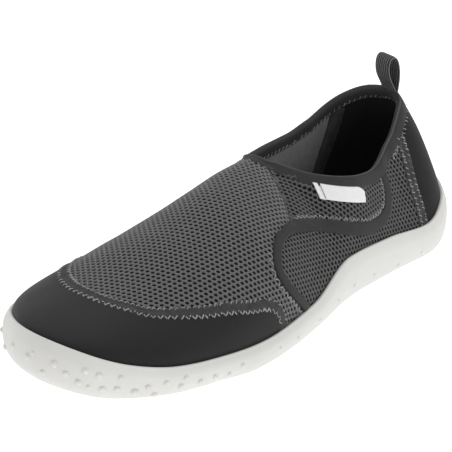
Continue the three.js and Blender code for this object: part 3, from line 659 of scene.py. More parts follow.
white_rubber = rubber("white_rubber")
# Darker copy of the strand cloth for the quarter and strap nets, which face the side lamp: painted shade
side_strand_painted_shade = cloth("side_strand_painted_shade", 0.095, 0.8, 0.25, 3200.0, 0.1, 0.0001)
mesh_strand = cloth("mesh_strand", 0.122, 0.8, 0.5, 3200.0, 0.1, 0.0001)
mesh_hollow = cloth("mesh_hollow", 0.003, 0.95, 0.0, 2000.0)
counter_cloth = cloth("counter_cloth", 0.0045, 0.8, 0.06, 3000.0, 0.08, 0.00005)
cap_cloth = cloth("cap_cloth", 0.0085, 0.75, 0.14, 3000.0, 0.08, 0.00005)
binding_cloth = cloth("binding_cloth", 0.03, 0.8, 0.06, 3000.0, 0.1, 0.00006)
# Lighter cloth for a thin tube along the collar binding's crest: a painted highlight where the roll catches the
# light
crest_painted_highlight = cloth("crest_painted_highlight", 0.075, 0.8, 0.1, 3000.0, 0.1, 0.00006)
seam_cloth = cloth("seam_cloth", 0.045, 0.9, 0.06, 1500.0, 0.3, 0.00012)
grey_lining = cloth("grey_lining", 0.2, 0.85, 0.25, 2200.0, 0.12, 0.00008)
black_lining = cloth("black_lining", 0.008, 0.9, 0.1, 2200.0)
light_thread = cloth("light_thread", 0.36, 0.7, 0.05, 5000.0)
label_cloth = cloth("label_cloth", 0.82, 0.7, 0.1, 2400.0, 0.03, 0.00006)
# Near-black cloth for the strip at the label's fold: painted shade
label_fold_painted_shade = cloth("label_fold_painted_shade", 0.02, 0.9, 0.0, 2400.0)
loop_tape = ribbed_tape("loop_tape", 0.12)
# Near-black copy of the tape for the faces down in the grooves between the ribs: painted shade
loop_groove_painted_shade = ribbed_tape("loop_groove_painted_shade", 0.01)


# Columns of rays round the whole shoe
def ring_of_rays(beside, toe, heel):
    s = np.linspace(HEEL_PIVOT, TOE_PIVOT, beside)
    ahead = np.linspace(math.pi / 2, -math.pi / 2, toe + 2)[1:-1]
    behind = np.linspace(-math.pi / 2, math.pi / 2, heel + 2)[1:-1]
    return Rays(
        np.concatenate([s, np.full(toe, TOE_PIVOT), s[::-1], np.full(heel, HEEL_PIVOT)]),
        np.concatenate([np.ones(beside), np.sin(ahead), -np.ones(beside), np.sin(behind)]),
        np.concatenate([np.zeros(beside), np.cos(ahead), np.zeros(beside), -np.cos(behind)]),
    )


# Cup sole
def sole_side(rays, up):
    """Point of the sole's side wall at a share of the rim's height."""
    order = np.argsort(SOLE_SIDE["up"])
    shares = SOLE_SIDE["up"][order]
    inwards = (SOLE_SIDE["setback"] * RIM_SETBACK + SOLE_SIDE["rounding"] * EDGE_ROUNDING)[order]
    out = rays.reach - curve_through(shares, inwards)(up) * rays.slant
    s = rays.s + out * rays.ds
    return rays.at(out, ground(s) + (rays.rim - ground(s)) * up)


# Nubs moulded on the sole's side, charted one by one: the ray's turn from straight ahead, + on the
# outer side, in degrees, the height in shares of the rim's and the nub's radius in millimetres
TOE_NUBS = table("turn up radius", [
    (-84, 0.5, 1.0), (-74, 0.36, 1.1), (-64, 0.6, 1.1), (-54, 0.4, 1.1), (-46, 0.64, 1.0),
    (-38, 0.3, 1.2), (-29, 0.52, 1.1), (-20, 0.34, 1.2), (-12, 0.6, 1.1), (-4, 0.56, 1.3),
    (-2, 0.68, 0.9), (2, 0.36, 1.2), (6, 0.64, 1.4), (10, 0.53, 1.1), (14, 0.41, 1.3),
    (16, 0.72, 1.2), (17, 0.36, 0.9), (20, 0.7, 1.2), (21, 0.38, 1.2), (26, 0.74, 1.0),
    (25, 0.43, 1.1), (30, 0.37, 1.3), (34, 0.51, 1.1), (36, 0.24, 1.1), (40, 0.62, 1.0),
    (45, 0.44, 1.1), (47, 0.7, 1.0), (53, 0.45, 1.1), (60, 0.46, 1.1), (68, 0.41, 1.0), (76, 0.6, 1.0),
])
SIDE_NUBS = table("along up radius", [
    (0.19, 0.36, 1.0), (0.26, 0.3, 1.1), (0.34, 0.38, 1.0), (0.408, 0.42, 1.1), (0.465, 0.45, 1.0),
    (0.53, 0.5, 0.9), (0.6, 0.5, 0.9), (0.654, 0.6, 1.0),
])


def dome(centre, normal, radius, height, around=10, rings=3):
    """Round nub standing on a surface."""
    helper = np.array([0.0, 0.0, 1.0]) if abs(normal[2]) < 0.9 else np.array([1.0, 0.0, 0.0])
    u = unit(np.cross(helper, normal))
    v = np.cross(normal, u)
    turn = np.linspace(0, 2 * math.pi, around, endpoint=False)
    points = [centre - normal * height * 0.4 + radius * 1.05 * (
        np.cos(turn)[:, None] * u + np.sin(turn)[:, None] * v)]
    for k in range(rings):
        a = math.pi / 2 * k / rings
        ring = radius * math.cos(a) * (np.cos(turn)[:, None] * u + np.sin(turn)[:, None] * v)
        points.append(centre + ring + normal * height * math.sin(a))
    top = len(points) * around
    points = np.concatenate(points + [(centre + normal * height)[None]])
    faces = grid_faces(rings + 1, around, closed=True).tolist()
    faces += [(top - around + j, top - around + (j + 1) % around, top) for j in range(around)]
    faces.append(tuple(reversed(range(around))))
    return points, faces


def sole_nubs():
    turn = np.radians(TOE_NUBS["turn"])
    toe = Rays(TOE_PIVOT, np.sin(turn), np.cos(turn))
    groups = [(toe, TOE_NUBS)]
    for side in (1, -1):
        groups.append((Rays(SIDE_NUBS["along"] * SOLE_LENGTH, side, 0.0), SIDE_NUBS))
    parts = []
    for rays, rows in groups:
        p = sole_side(rays, rows["up"])
        rise = sole_side(rays, rows["up"] + 0.02) - p
        level = np.stack([-rays.ds, rays.dx, 0 * rays.s], -1)
        normal = unit(np.cross(level, rise))
        outward = np.stack([rays.dx, rays.ds, 0 * rays.s], -1)
        normal *= np.sign((normal * outward).sum(-1))[:, None]
        larger = 1.2 if rows is TOE_NUBS else 0.85
        for c, n, r in zip(p, normal, rows["radius"]):
            parts.append(dome(c, n, larger * r, 0.7 * larger * r))
    return parts


def lug_bar(s, centre, half_width):
    """Tread lug: a bar across the sole with rounded edges, bent back towards the sides."""
    half = LUG_LENGTH / 2
    t = np.linspace(-1, 1, 9)
    x = centre + t * half_width
    profile = [(-half, 2.4), (-half, 0.5), (-half + 0.5, 0.0), (half - 0.5, 0.0), (half, 0.5), (half, 2.4)]
    corners = []
    for ds, lift in profile:
        at = s - LUG_SWEEP * np.abs(x) + ds
        corners.append(np.stack([x, at, ground(at) + lift], -1))
    return sweep(np.array(corners), False)


def make_sole():
    rays = ring_of_rays(100, 96, 64)
    bed_edge = rays.wall(1.0, CLEARANCE)
    bed_edge[:, 2] = footbed(bed_edge[:, 1])
    spine = rays.at(0 * rays.s, footbed(rays.s))
    inside = [rays.wall(d, CLEARANCE) for d in (0.9, 0.6, 0.3, 0.1, 0.0)]
    lip = [rays.outline(-RIM_SETBACK - a, lambda s: 0 * s) for a in (1.45, 1.0, 0.5, 0.2)]
    for ring, rise in zip(lip, (0.3, RIM_LIP, RIM_LIP, 0.3)):
        ring[:, 2] = rays.rim + rise
    side = [sole_side(rays, up) for up in np.linspace(0.985, 0.08, 24)]
    under = [rays.outline(-a, ground) for a in (TREAD_INSET - 1.6, TREAD_INSET, LUG_MARGIN)]
    under[0][:, 2] += 0.5
    base = rays.outline(-LUG_MARGIN - LUG_DEPTH, lambda s: ground(s) + LUG_DEPTH)
    middle = rays.at(0 * rays.s, ground(rays.s) + LUG_DEPTH)
    rings = [spine, 0.5 * (spine + bed_edge), bed_edge, *inside, *lip, *side, *under, base, middle]
    rings[1][:, 2] = footbed(rings[1][:, 1])
    parts = [(np.concatenate(rings), grid_faces(len(rings), len(rays.s), closed=True).tolist())]
    rows = int((TREAD_END - TREAD_START) * SOLE_LENGTH / LUG_PITCH)
    for k in range(rows + 1):
        s = TREAD_START * SOLE_LENGTH + k * LUG_PITCH
        if WAIST[0] < s / SOLE_LENGTH < WAIST[1]:
            continue
        inset = -LUG_MARGIN - LUG_DEPTH - LUG_GAP / 2
        ends = [Rays(np.clip(s, HEEL_PIVOT, TOE_PIVOT), side, 0.0) for side in (1.0, -1.0)]
        chords = outline[np.abs(outline[:, 1] - s) < 4]
        right = chords[:, 0].max() + inset if s < HEEL_PIVOT or s > TOE_PIVOT else (
            ends[0].px + ends[0].reach + inset)
        left = chords[:, 0].min() - inset if s < HEEL_PIVOT or s > TOE_PIVOT else (
            ends[1].px - ends[1].reach - inset)
        pitch = (right - left + LUG_GAP) / LUG_COLUMNS
        for c in range(LUG_COLUMNS):
            parts.append(lug_bar(s, left + (pitch - LUG_GAP) / 2 + c * pitch, (pitch - LUG_GAP) / 2))
    points, faces = join(parts + sole_nubs())
    piece = mesh_object("cup_sole", points, faces, [white_rubber])
    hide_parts("outsole")


def make_footbed():
    rays = ring_of_rays(60, 40, 30)
    edge = -UPPER_INSET - UPPER_WALL - WALL_TUCK - INSOLE_SLACK
    rings = []
    for share, lift in ((0.0, 0.0), (1.0, 0.0), (1.0, 2.2), (0.985, 2.8), (0.96, 3.0), (0.5, 3.0), (0.0, 3.0)):
        out = (rays.reach + edge * rays.slant) * share
        s = rays.s + out * rays.ds
        rings.append(rays.at(out, seat(s) + lift * INSOLE_THICKNESS / 3.0))
    faces = grid_faces(len(rings), len(rays.s), closed=True).tolist()
    piece = mesh_object("footbed_pad", np.concatenate(rings), faces, [black_lining])
    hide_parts("insole")


# Upper: the wall behind the mesh, with its lining
SHELL_OUTSIDE = -0.8
ROWS = 44


def shell_columns(rays, rows):
    """Even steps of girth from the rim up to the collar or the ridge, as angles (rows, columns)."""
    open_ray = (rays.ds < 0) | ((rays.ds == 0) & (rays.s < THROAT - 0.01))
    top = np.where(open_ray, angle_at(rays, collar_height), math.pi / 2)
    share = np.linspace(0, 1, 81)[:, None]
    samples = rays.form(share * top)
    girth = np.concatenate([np.zeros((1, len(rays.s))),
                            np.cumsum(np.linalg.norm(np.diff(samples, axis=0), axis=2), 0)])
    angles = np.empty((rows, len(rays.s)))
    for j in range(len(rays.s)):
        goals = np.linspace(0, girth[-1, j], rows)
        angles[:, j] = np.interp(goals, girth[:, j], share[:, 0] * top[j])
    return angles, girth[-1], open_ray


def uneven_ring():
    """Rays that draw together towards the throat, where the opening turns."""
    open_part = THROAT - (THROAT - HEEL_PIVOT) * (1 - np.linspace(0, 1, 61)) ** 2
    closed_part = np.linspace(THROAT, TOE_PIVOT, 36)[1:]
    s = np.concatenate([open_part, closed_part])
    ahead = np.linspace(math.pi / 2, -math.pi / 2, 74)[1:-1]
    behind = np.linspace(-math.pi / 2, math.pi / 2, 50)[1:-1]
    return Rays(
        np.concatenate([s, np.full(72, TOE_PIVOT), s[::-1], np.full(48, HEEL_PIVOT)]),
        np.concatenate([np.ones(len(s)), np.sin(ahead), -np.ones(len(s)), np.sin(behind)]),
        np.concatenate([np.zeros(len(s)), np.cos(ahead), np.zeros(len(s)), -np.cos(behind)]),
    )


def lining_seam_at(p):
    """How far a point lies behind the seam of the lining."""
    up = LINING_SEAM["up"][::-1] * HEEL_HEIGHT
    along = LINING_SEAM["along"][::-1] * SOLE_LENGTH
    return np.interp(p[..., 2], up, along) - p[..., 1]


def make_shell():
    rays = uneven_ring()
    angles, _girth, open_ray = shell_columns(rays, ROWS)
    grid = rays.form(angles)
    normal = form_normal(grid)
    slope = (ridge_height(rays.s - PROBE) - ridge_height(rays.s + PROBE)) / (2 * PROBE)
    ridge = unit(np.stack([0 * slope, slope, 1 + 0 * slope], -1))
    normal[-1] = np.where(open_ray[:, None], normal[-1], ridge)
    fold = relief(grid)[..., None]
    outer = [rays.wall(d, SHELL_OUTSIDE) for d in (1.0, 0.5)] + list(grid + normal * (fold + SHELL_OUTSIDE))
    inner = [rays.wall(d, -UPPER_WALL) for d in (1.0, 0.5)] + list(grid + normal * (fold - UPPER_WALL))
    outer, inner = (np.array(rows) for rows in (outer, inner))
    faces = grid_faces(len(outer), len(rays.s), closed=True)
    n = outer.shape[1]
    top_row = (faces[:, 2] // n) == len(outer) - 1
    centre = inner.reshape(-1, 3)[faces].mean(1)
    black = lining_seam_at(centre) > 0
    points, all_faces = thicken(outer.reshape(-1, 3), inner.reshape(-1, 3), faces)
    which = np.zeros(len(all_faces), int)
    which[len(faces):2 * len(faces)] = np.where(black, 2, 1)
    keep = []
    for index, face in enumerate(all_faces):
        on_ridge = index >= 2 * len(faces) and all(
            (i % len(outer.reshape(-1, 3))) // n == len(outer) - 1 and not open_ray[i % n] for i in face)
        keep.append(not on_ridge)
    all_faces = [f for f, k in zip(all_faces, keep) if k]
    which = which[np.array(keep)]
    piece = mesh_object("upper_wall", points, all_faces, [mesh_hollow, grey_lining, black_lining],
                        which)
    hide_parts("upper")
    return piece


# Air mesh: a regular net of round holes at a pitch, laid out flat for each panel
MESH_PITCH = 2.7
NET_TOP = 0.1
NET_SIDE = 0.0
NET_FLOOR = -0.32


def flatten(points, start, faces, rounds=500):
    """Lays a curved panel out flat so that its edges and diagonals keep their lengths."""
    pairs = [faces[:, [i, j]] for i, j in ((0, 1), (1, 2), (2, 3), (3, 0), (0, 2), (1, 3))]
    pairs = np.unique(np.sort(np.concatenate(pairs), 1), axis=0)
    pairs = pairs[pairs[:, 0] != pairs[:, 1]]
    a, b = pairs.T
    rest = np.linalg.norm(points[a] - points[b], axis=1)
    count = np.bincount(pairs.ravel(), minlength=len(points)).clip(1)
    flat = start.copy()
    for _ in range(rounds):
        gap = flat[b] - flat[a]
        length = np.maximum(np.linalg.norm(gap, axis=1), 1e-9)
        push = gap * (0.5 * (length - rest) / length)[:, None]
        for k in (0, 1):
            move = np.bincount(a, push[:, k], len(points)) - np.bincount(b, push[:, k], len(points))
            flat[:, k] += 1.5 * move / count
    return flat


def upper_chart():
    """Coarse grid over the whole upper with a first guess of its place on flat cloth."""
    rays = ring_of_rays(42, 34, 18)
    rows = 26
    angles, full, open_ray = shell_columns(rays, rows)
    grid = rays.form(angles)
    step = np.linalg.norm(np.diff(grid, axis=0), axis=2)
    from_rim = np.concatenate([np.zeros((1, len(rays.s))), np.cumsum(step, 0)])
    below = np.array([rays.wall(d, 0.0) for d in (0.3, 0.15)])
    grid = np.concatenate([below, grid])
    from_rim = np.concatenate([below[..., 2] - rays.rim, from_rim])
    across = np.sign(rays.dx)
    across[across == 0] = 1
    guess = np.empty(grid.shape[:2] + (2,))
    for side in (1, -1):
        whole = Rays(np.array([THROAT]), float(side), 0.0)
        _angles, girth, _open = shell_columns(whole, rows)
        mine = across == side
        height = from_rim[:, mine] + rays.rim[mine] - whole.rim[0]
        guess[:, mine, 0] = np.where(open_ray[mine], -(girth[0] - height), -(full[mine] - from_rim[:, mine]))
        guess[:, mine, 0] *= -side
    reach = np.abs(guess[..., 0]) * across
    turn = np.arccos(np.clip(np.abs(rays.dx), 0, 1))
    guess[..., 0] = np.where(rays.ds > 0, np.abs(reach) * rays.dx, reach)
    guess[..., 1] = np.where(rays.ds > 0, TOE_PIVOT + np.abs(reach) * rays.ds,
                             np.where(rays.ds < 0, HEEL_PIVOT - turn * 30.0, rays.s))
    faces = grid_faces(grid.shape[0], grid.shape[1], closed=True)
    points = grid.reshape(-1, 3)
    _keys, first, same = np.unique(np.round(points, 3), axis=0, return_index=True, return_inverse=True)
    return points[first], guess.reshape(-1, 2)[first], same.reshape(-1)[faces]


class Panel:
    """A panel of the upper laid out flat, to carry a net back onto the form."""

    def __init__(self, chart, wanted, anchor, lateral_anchor=True):
        points, guess, faces = chart
        faces = faces[wanted(points)[faces].all(1)]
        used, faces = np.unique(faces, return_inverse=True)
        faces = faces.reshape(-1, 4)
        self.points = points[used]
        self.flat = flatten(self.points, guess[used], faces)
        triangles = np.concatenate([faces[:, [0, 1, 2]], faces[:, [0, 2, 3]]])
        a, b, c = triangles.T
        self.triangles = triangles[(a != b) & (b != c) & (a != c)]
        flat3 = np.concatenate([self.flat, np.zeros((len(self.flat), 1))], 1)
        self.tree = BVHTree.FromPolygons(flat3.tolist(), self.triangles.tolist())
        # Direction on the flat cloth that leads straight towards the toe at the anchor
        ends = [np.linalg.norm(self.points - (anchor + (0, step, 0)), axis=1).argsort()[:6]
                for step in (-6.0, 6.0)]
        move = self.flat[ends[1]].mean(0) - self.flat[ends[0]].mean(0)
        true = self.points[ends[1]].mean(0) - self.points[ends[0]].mean(0)
        self.bearing = math.atan2(move[1], move[0]) - math.atan2(true[1], -true[2] if lateral_anchor else true[0])

    def lay(self, q):
        """Points on the form for places on the flat cloth, and how far off the panel they are."""
        found = [self.tree.find_nearest((x, y, 0.0)) for x, y in q]
        index = np.array([hit[2] for hit in found])
        off = np.array([hit[3] for hit in found])
        tri = self.triangles[index]
        a, b, c = (self.flat[tri[:, k]] for k in range(3))
        ab, ac, ap = b - a, c - a, q - a
        det = ab[:, 0] * ac[:, 1] - ab[:, 1] * ac[:, 0]
        v = (ap[:, 0] * ac[:, 1] - ap[:, 1] * ac[:, 0]) / det
        w = (ab[:, 0] * ap[:, 1] - ab[:, 1] * ap[:, 0]) / det
        u = 1 - v - w
        pa, pb, pc = (self.points[tri[:, k]] for k in range(3))
        return pa * u[:, None] + pb * v[:, None] + pc * w[:, None], off


def net(panel, wanted, base, turn, pitch=MESH_PITCH, lean=0.0, hole=(0.37, 0.27)):
    """Cells of the net whose middle is wanted: strands crowned along the cells' borders, and a
    dark floor in each hole. Returns points, faces and each face's material."""
    angle = math.radians(turn) + panel.bearing
    a = pitch * np.array([-math.sin(angle), math.cos(angle)])
    b = np.array([math.sqrt(3) / 2 * a[1] + a[0] / 2, -math.sqrt(3) / 2 * a[0] + a[1] / 2])
    low, high = panel.flat.min(0), panel.flat.max(0)
    inverse = np.linalg.inv(np.stack([a, b], 1))
    box = np.array([[x, y] for x in (low[0], high[0]) for y in (low[1], high[1])]) @ inverse.T
    i, j = np.meshgrid(np.arange(math.floor(box[:, 0].min()), math.ceil(box[:, 0].max()) + 1),
                       np.arange(math.floor(box[:, 1].min()), math.ceil(box[:, 1].max()) + 1),
                       indexing="ij")
    i, j = i.ravel(), j.ravel()
    centre = i[:, None] * a + j[:, None] * b
    inside = ((centre > low - pitch) & (centre < high + pitch)).all(1)
    i, j, centre = i[inside], j[inside], centre[inside]
    there, off = panel.lay(centre)
    keep = (off < 0.3) & wanted(there)
    i, j, centre = i[keep], j[keep], centre[keep]
    # Each cell's six corners, shared with its neighbours: (shift in i, shift in j, kind)
    around = [(0, 0, 0), (0, 0, 1), (-1, 0, 0), (0, -1, 1), (0, -1, 0), (1, -1, 1)]
    keys = np.stack([np.stack([i + di, j + dj, 0 * i + kind], 1) for di, dj, kind in around], 1)
    unique, index = np.unique(keys.reshape(-1, 3), axis=0, return_inverse=True)
    index = index.reshape(-1, 6)
    corner = unique[:, :1] * a + unique[:, 1:2] * b
    corner = corner + np.where(unique[:, 2:] == 0, (a + b) / 3, (2 * b - a) / 3)
    # Rings of twelve points round the hole, starting halfway between the last and first corner
    first = (corner[index[:, 0]] - centre)[0]
    start = math.atan2(first[1], first[0]) - math.pi / 6
    spin = 1 if np.cross(first, (corner[index[:, 1]] - centre)[0]) > 0 else -1
    angles = start * 1.0 + spin * np.arange(12) * math.pi / 6
    if spin < 0:
        angles = math.atan2(first[1], first[0]) + math.pi / 6 - np.arange(12) * math.pi / 6
    slant = math.atan2((b - a)[1], (b - a)[0]) + math.radians(lean)
    row = np.array([math.cos(slant), math.sin(slant)])
    across_row = np.array([-row[1], row[0]])
    direction = np.stack([np.cos(angles), np.sin(angles)], 1)
    rings = []
    for wide, narrow in ((0.45, 0.37), hole):
        rings.append(centre[:, None] + (direction @ row)[:, None] * row * wide * pitch
                     + (direction @ across_row)[:, None] * across_row * narrow * pitch)
    n = len(centre)
    flat = np.concatenate([corner, rings[0].reshape(-1, 2), rings[1].reshape(-1, 2)])
    height = np.concatenate([np.full(len(corner), NET_TOP), np.full(12 * n, NET_SIDE),
                             np.full(12 * n, NET_FLOOR)])
    there, _off = panel.lay(flat)
    there = onto_form(there, 2)
    points = lifted(there, base(there) + height)
    ring1 = len(corner) + 12 * np.arange(n)[:, None] + np.arange(12)
    ring2 = ring1 + 12 * n
    faces = []
    for k in range(6):
        c, d = index[:, k], index[:, (k + 1) % 6]
        r0, r1, r2 = ring1[:, 2 * k], ring1[:, 2 * k + 1], ring1[:, (2 * k + 2) % 12]
        faces += [np.stack([c, r1, r0], 1), np.stack([c, r2, r1], 1), np.stack([c, d, r2], 1)]
    for k in range(12):
        m = (k + 1) % 12
        faces += [np.stack([ring1[:, k], ring1[:, m], ring2[:, m], ring2[:, k]], 1)]
    sides = [f for group in faces for f in group.tolist()]
    floors = ring2.tolist()
    which = [0] * len(sides) + [1] * len(floors)
    return points, sides + floors, which


def facing_out(points, faces):
    """Turns all faces over if most of them look inwards."""
    some = faces[:: max(1, len(faces) // 400)]
    votes = 0
    for f in some:
        a, b, c = points[f[0]], points[f[1]], points[f[2]]
        n = np.cross(place(b) - place(a), place(c) - place(a))
        out = form_normal(((a + b + c) / 3)[None])[0] * (1, -1, 1)
        votes += np.sign(n @ out)
    return faces if votes >= 0 else [tuple(reversed(f)) for f in faces]


def inside_polygon(polygon, x, y):
    inside = np.zeros(x.shape, bool)
    for (ax, ay), (bx, by) in zip(polygon, np.roll(polygon, -1, 0)):
        crosses = (ay > y) != (by > y)
        with np.errstate(divide="ignore", invalid="ignore"):
            inside ^= crosses & (x < ax + (bx - ax) * (y - ay) / (by - ay))
    return inside


def flat_seam(rows, steps=6):
    return smooth_path(np.stack([rows["along"] * SOLE_LENGTH, rows["up"] * HEEL_HEIGHT], 1), steps)


counter_flat = flat_seam(COUNTER_SEAM)
strap_edge_flat = flat_seam(STRAP_EDGE)
strap_front_flat = flat_seam(STRAP_FRONT)
cap_flat = smooth_path(np.stack([CAP_EDGE["across"] * HALF_BALL, CAP_EDGE["along"] * SOLE_LENGTH], 1), 16)

strap_edge = side_path(STRAP_EDGE, 1)
counter_paths = {side: side_path(COUNTER_SEAM, side) for side in (1, -1)}
strap_front = side_path(STRAP_FRONT, 1)
lining_paths = {side: side_path(LINING_SEAM, side) for side in (1, -1)}


def cap_path():
    """The toe cap's edge on the form, down to below the rim at both ends."""
    p = np.concatenate([cap_flat, np.zeros((len(cap_flat), 1))], 1)
    ray, length = rays_under(p)
    share = length / ray.width
    inside = share < 0.995
    p, share = p[inside], share[inside]
    ray, _length = rays_under(p)
    p[:, 2] = ray.rim + (ridge_height(p[:, 1]) - ray.rim) * (1 - share ** ray.round) ** (1 / ray.round)
    ends = []
    for k in (0, -1):
        end_ray, _length = rays_under(p[k:k + 1] if k == 0 else p[-1:])
        ends.append(np.concatenate([end_ray.form(np.array([0.0])), end_ray.wall(np.array([0.12]), 0.0)]))
    return resample(np.concatenate([ends[0][::-1], p, ends[1]]), 1.0)


cap_edge = cap_path()
strap_foot = strap_front_flat[-1]


def in_front_of_strap(p):
    lead = strap_edge_flat[strap_edge_flat[:, 0].searchsorted(strap_foot[0]) if False else
                           int(np.argmax(strap_edge_flat[:, 0] > strap_foot[0])):]
    polygon = np.concatenate([strap_front_flat, lead, [(lead[-1][0], -50), (400, -50), (400, 200),
                                                       (strap_front_flat[0][0], 200)]])
    return inside_polygon(polygon, p[:, 1], p[:, 2])


def behind_strap(p):
    polygon = np.concatenate([strap_edge_flat, [(strap_edge_flat[-1][0], -50), (-100, -50), (-100, 200),
                                                (strap_edge_flat[0][0], 200)]])
    return inside_polygon(polygon, p[:, 1], p[:, 2])


def on_strap(p):
    free = strap_edge_flat[:int(np.argmax(strap_edge_flat[:, 0] > strap_foot[0]))]
    polygon = np.concatenate([free, strap_front_flat[::-1], [(strap_front_flat[0][0], 200),
                                                             (free[0][0], 200)]])
    return inside_polygon(polygon, p[:, 1], p[:, 2])


def before_counter(p):
    return p[:, 1] > np.interp(p[:, 2], counter_flat[::-1, 1], counter_flat[::-1, 0])


def behind_cap(p):
    polygon = np.concatenate([cap_flat, [(-300, -100), (300, -100)]])
    return inside_polygon(polygon, p[:, 0], p[:, 1])


def clear_of_bands(p):
    """Under the bands the net runs on for a little, and ends there."""
    tuck = 1.3
    clear = distance_to(collar, p) > BINDING_WIDTH - tuck
    clear &= distance_to(strap_edge[::2], p) > STRAP_EDGE_WIDTH / 2 - tuck
    for side in (1, -1):
        clear &= distance_to(counter_paths[side][::2], p) > HEEL_SEAM_WIDTH / 2 - tuck
    return clear & (distance_to(cap_edge[::2], p) > TOE_SEAM_WIDTH - tuck) & behind_cap(p)


def below_collar(p, distance):
    """On the upper and at least a distance below its collar's edge."""
    ray, _length = rays_under(p)
    open_part = (p[:, 1] < THROAT) & (p[:, 2] > collar_height(ray, p[:, 1]))
    return ~open_part & (distance_to(collar, p) > distance)


def lateral(p):
    return p[:, 0] > ridge_across(np.clip(p[:, 1], HEEL_PIVOT, TOE_PIVOT))


def strap_base(p):
    """The strap lies flush at its front seam and stands up towards its free edge."""
    t = np.clip(distance_to(strap_front, p) / 9.0, 0, 1)
    return 0.15 + (STRAP_WALL - 0.15) * t * t * (3 - 2 * t)


FRONT_HOLE = (0.375, 0.275)
SIDE_HOLE = (0.415, 0.32)


def make_nets():
    chart = upper_chart()
    middle = Rays(160.0, 1.0, 0.0).form(math.pi / 2)
    front = Panel(chart, lambda p: ~(lateral(p) & (p[:, 1] < 114)) & (p[:, 1] > 18) & (p[:, 1] < 268),
                  middle, False)
    quarter = Panel(chart, lambda p: lateral(p) & (p[:, 1] < 186) & (p[:, 1] > 10), side_point(155.0, 32.0, 1))
    strap = Panel(chart, lambda p: lateral(p) & (p[:, 1] > 52) & (p[:, 1] < 160), side_point(105.0, 42.0, 1))
    jobs = [
        ("mesh_front", front, lambda p: 0.0 * p[:, 0], 9.0, MESH_PITCH, -18.0,
         lambda p: before_counter(p) & clear_of_bands(p) & (~lateral(p) | in_front_of_strap(p))),
        ("mesh_quarter", quarter, lambda p: 0.0 * p[:, 0], 12.0, 2.6, 0.0,
         lambda p: before_counter(p) & clear_of_bands(p) & behind_strap(p)),
        ("mesh_strap", strap, strap_base, -6.0, 2.5, 0.0,
         lambda p: (on_strap(p) | (distance_to(strap_front, p) < 1.6)) & clear_of_bands(p)),
    ]
    for name, panel, base, turn, pitch, lean, wanted in jobs:
        hole = FRONT_HOLE if name == "mesh_front" else SIDE_HOLE
        points, faces, which = net(panel, wanted, base, turn, pitch, lean, hole)
        faces = facing_out(points, faces)
        # The quarter and strap nets take the darker copy of the strand cloth: painted shade against the side
        # lamp's light
        strand = mesh_strand if name == "mesh_front" else side_strand_painted_shade
        piece = mesh_object(name, points, faces, [strand, mesh_hollow], which, closed=False)
        print(name, len(faces), "faces", sum(len(f) - 2 for f in faces), "triangles",
              "bearing", round(math.degrees(panel.bearing), 1))
        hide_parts("side_strap" if name == "mesh_strap" else "upper")


# Smooth overlays
def settle(above_rim, full, tucked=0.22, run=3.5):
    """Height of an overlay: thin where it dives behind the sole's rim, full higher up."""
    t = np.clip(above_rim / run, 0, 1)
    return tucked + (full - tucked) * t * t * (3 - 2 * t)


def overlay(name, rays, angles, grow, inner_grow, finish, node):
    """Closed skin over a grid of rays and angles; two rows more reach down behind the rim."""
    grid = rays.form(angles)
    foot = Rays(rays.s[0], rays.dx[0], rays.ds[0]) if rays.s.ndim > 1 else rays
    below = np.array([foot.wall(d, 0.0) for d in (0.2, 0.1)])
    normal = form_normal(grid)
    fold = relief(grid)[..., None]
    rise = settle(grid[..., 2] - foot.rim, grow)[..., None]
    outwards = np.stack([foot.dx, foot.ds, 0 * foot.s], -1)
    outer = np.concatenate([below + outwards * 0.22, grid + normal * (rise + fold)])
    inner = np.concatenate([below, grid + normal * (np.minimum(inner_grow, rise - 0.1) + fold)])
    faces = grid_faces(outer.shape[0], outer.shape[1])
    points, faces = thicken(outer.reshape(-1, 3), inner.reshape(-1, 3), faces)
    piece = mesh_object(name, points, faces, [finish])
    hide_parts(node)
    return piece


def make_toe_cap():
    scale = 40.0
    ray, length = rays_under(cap_edge)
    quarter_turn = math.pi / 2
    turn = np.where(ray.ds > 0, quarter_turn - np.arcsin(np.clip(ray.dx, -1, 1)), 0.0)
    place_of = np.where(ray.ds > 0, turn * scale, np.where(
        ray.dx > 0, ray.s - TOE_PIVOT, math.pi * scale + TOE_PIVOT - ray.s))
    share = np.clip(length / ray.width, 0, 1)
    order = np.argsort(place_of)
    stops = np.linspace(place_of.min(), place_of.max(), 240)
    edge = np.interp(stops, place_of[order], share[order])
    beside = (stops < 0) | (stops > math.pi * scale)
    s = np.where(stops < 0, TOE_PIVOT + stops, np.where(
        stops > math.pi * scale, TOE_PIVOT - (stops - math.pi * scale), TOE_PIVOT))
    angle = quarter_turn - stops / scale
    dx = np.where(beside, np.where(stops < 0, 1.0, -1.0), np.sin(angle))
    ds = np.where(beside, 0.0, np.cos(angle))
    rays = Rays(s, dx, ds)
    top = np.arccos(np.clip(edge ** (rays.round / 2), 0, 1))
    angles = np.linspace(0, 1, 60)[:, None] * top
    overlay("toe_cap_skin", rays, angles, CLEARANCE + OVERLAY_WALL, 0.1, cap_cloth, "toe_cap")


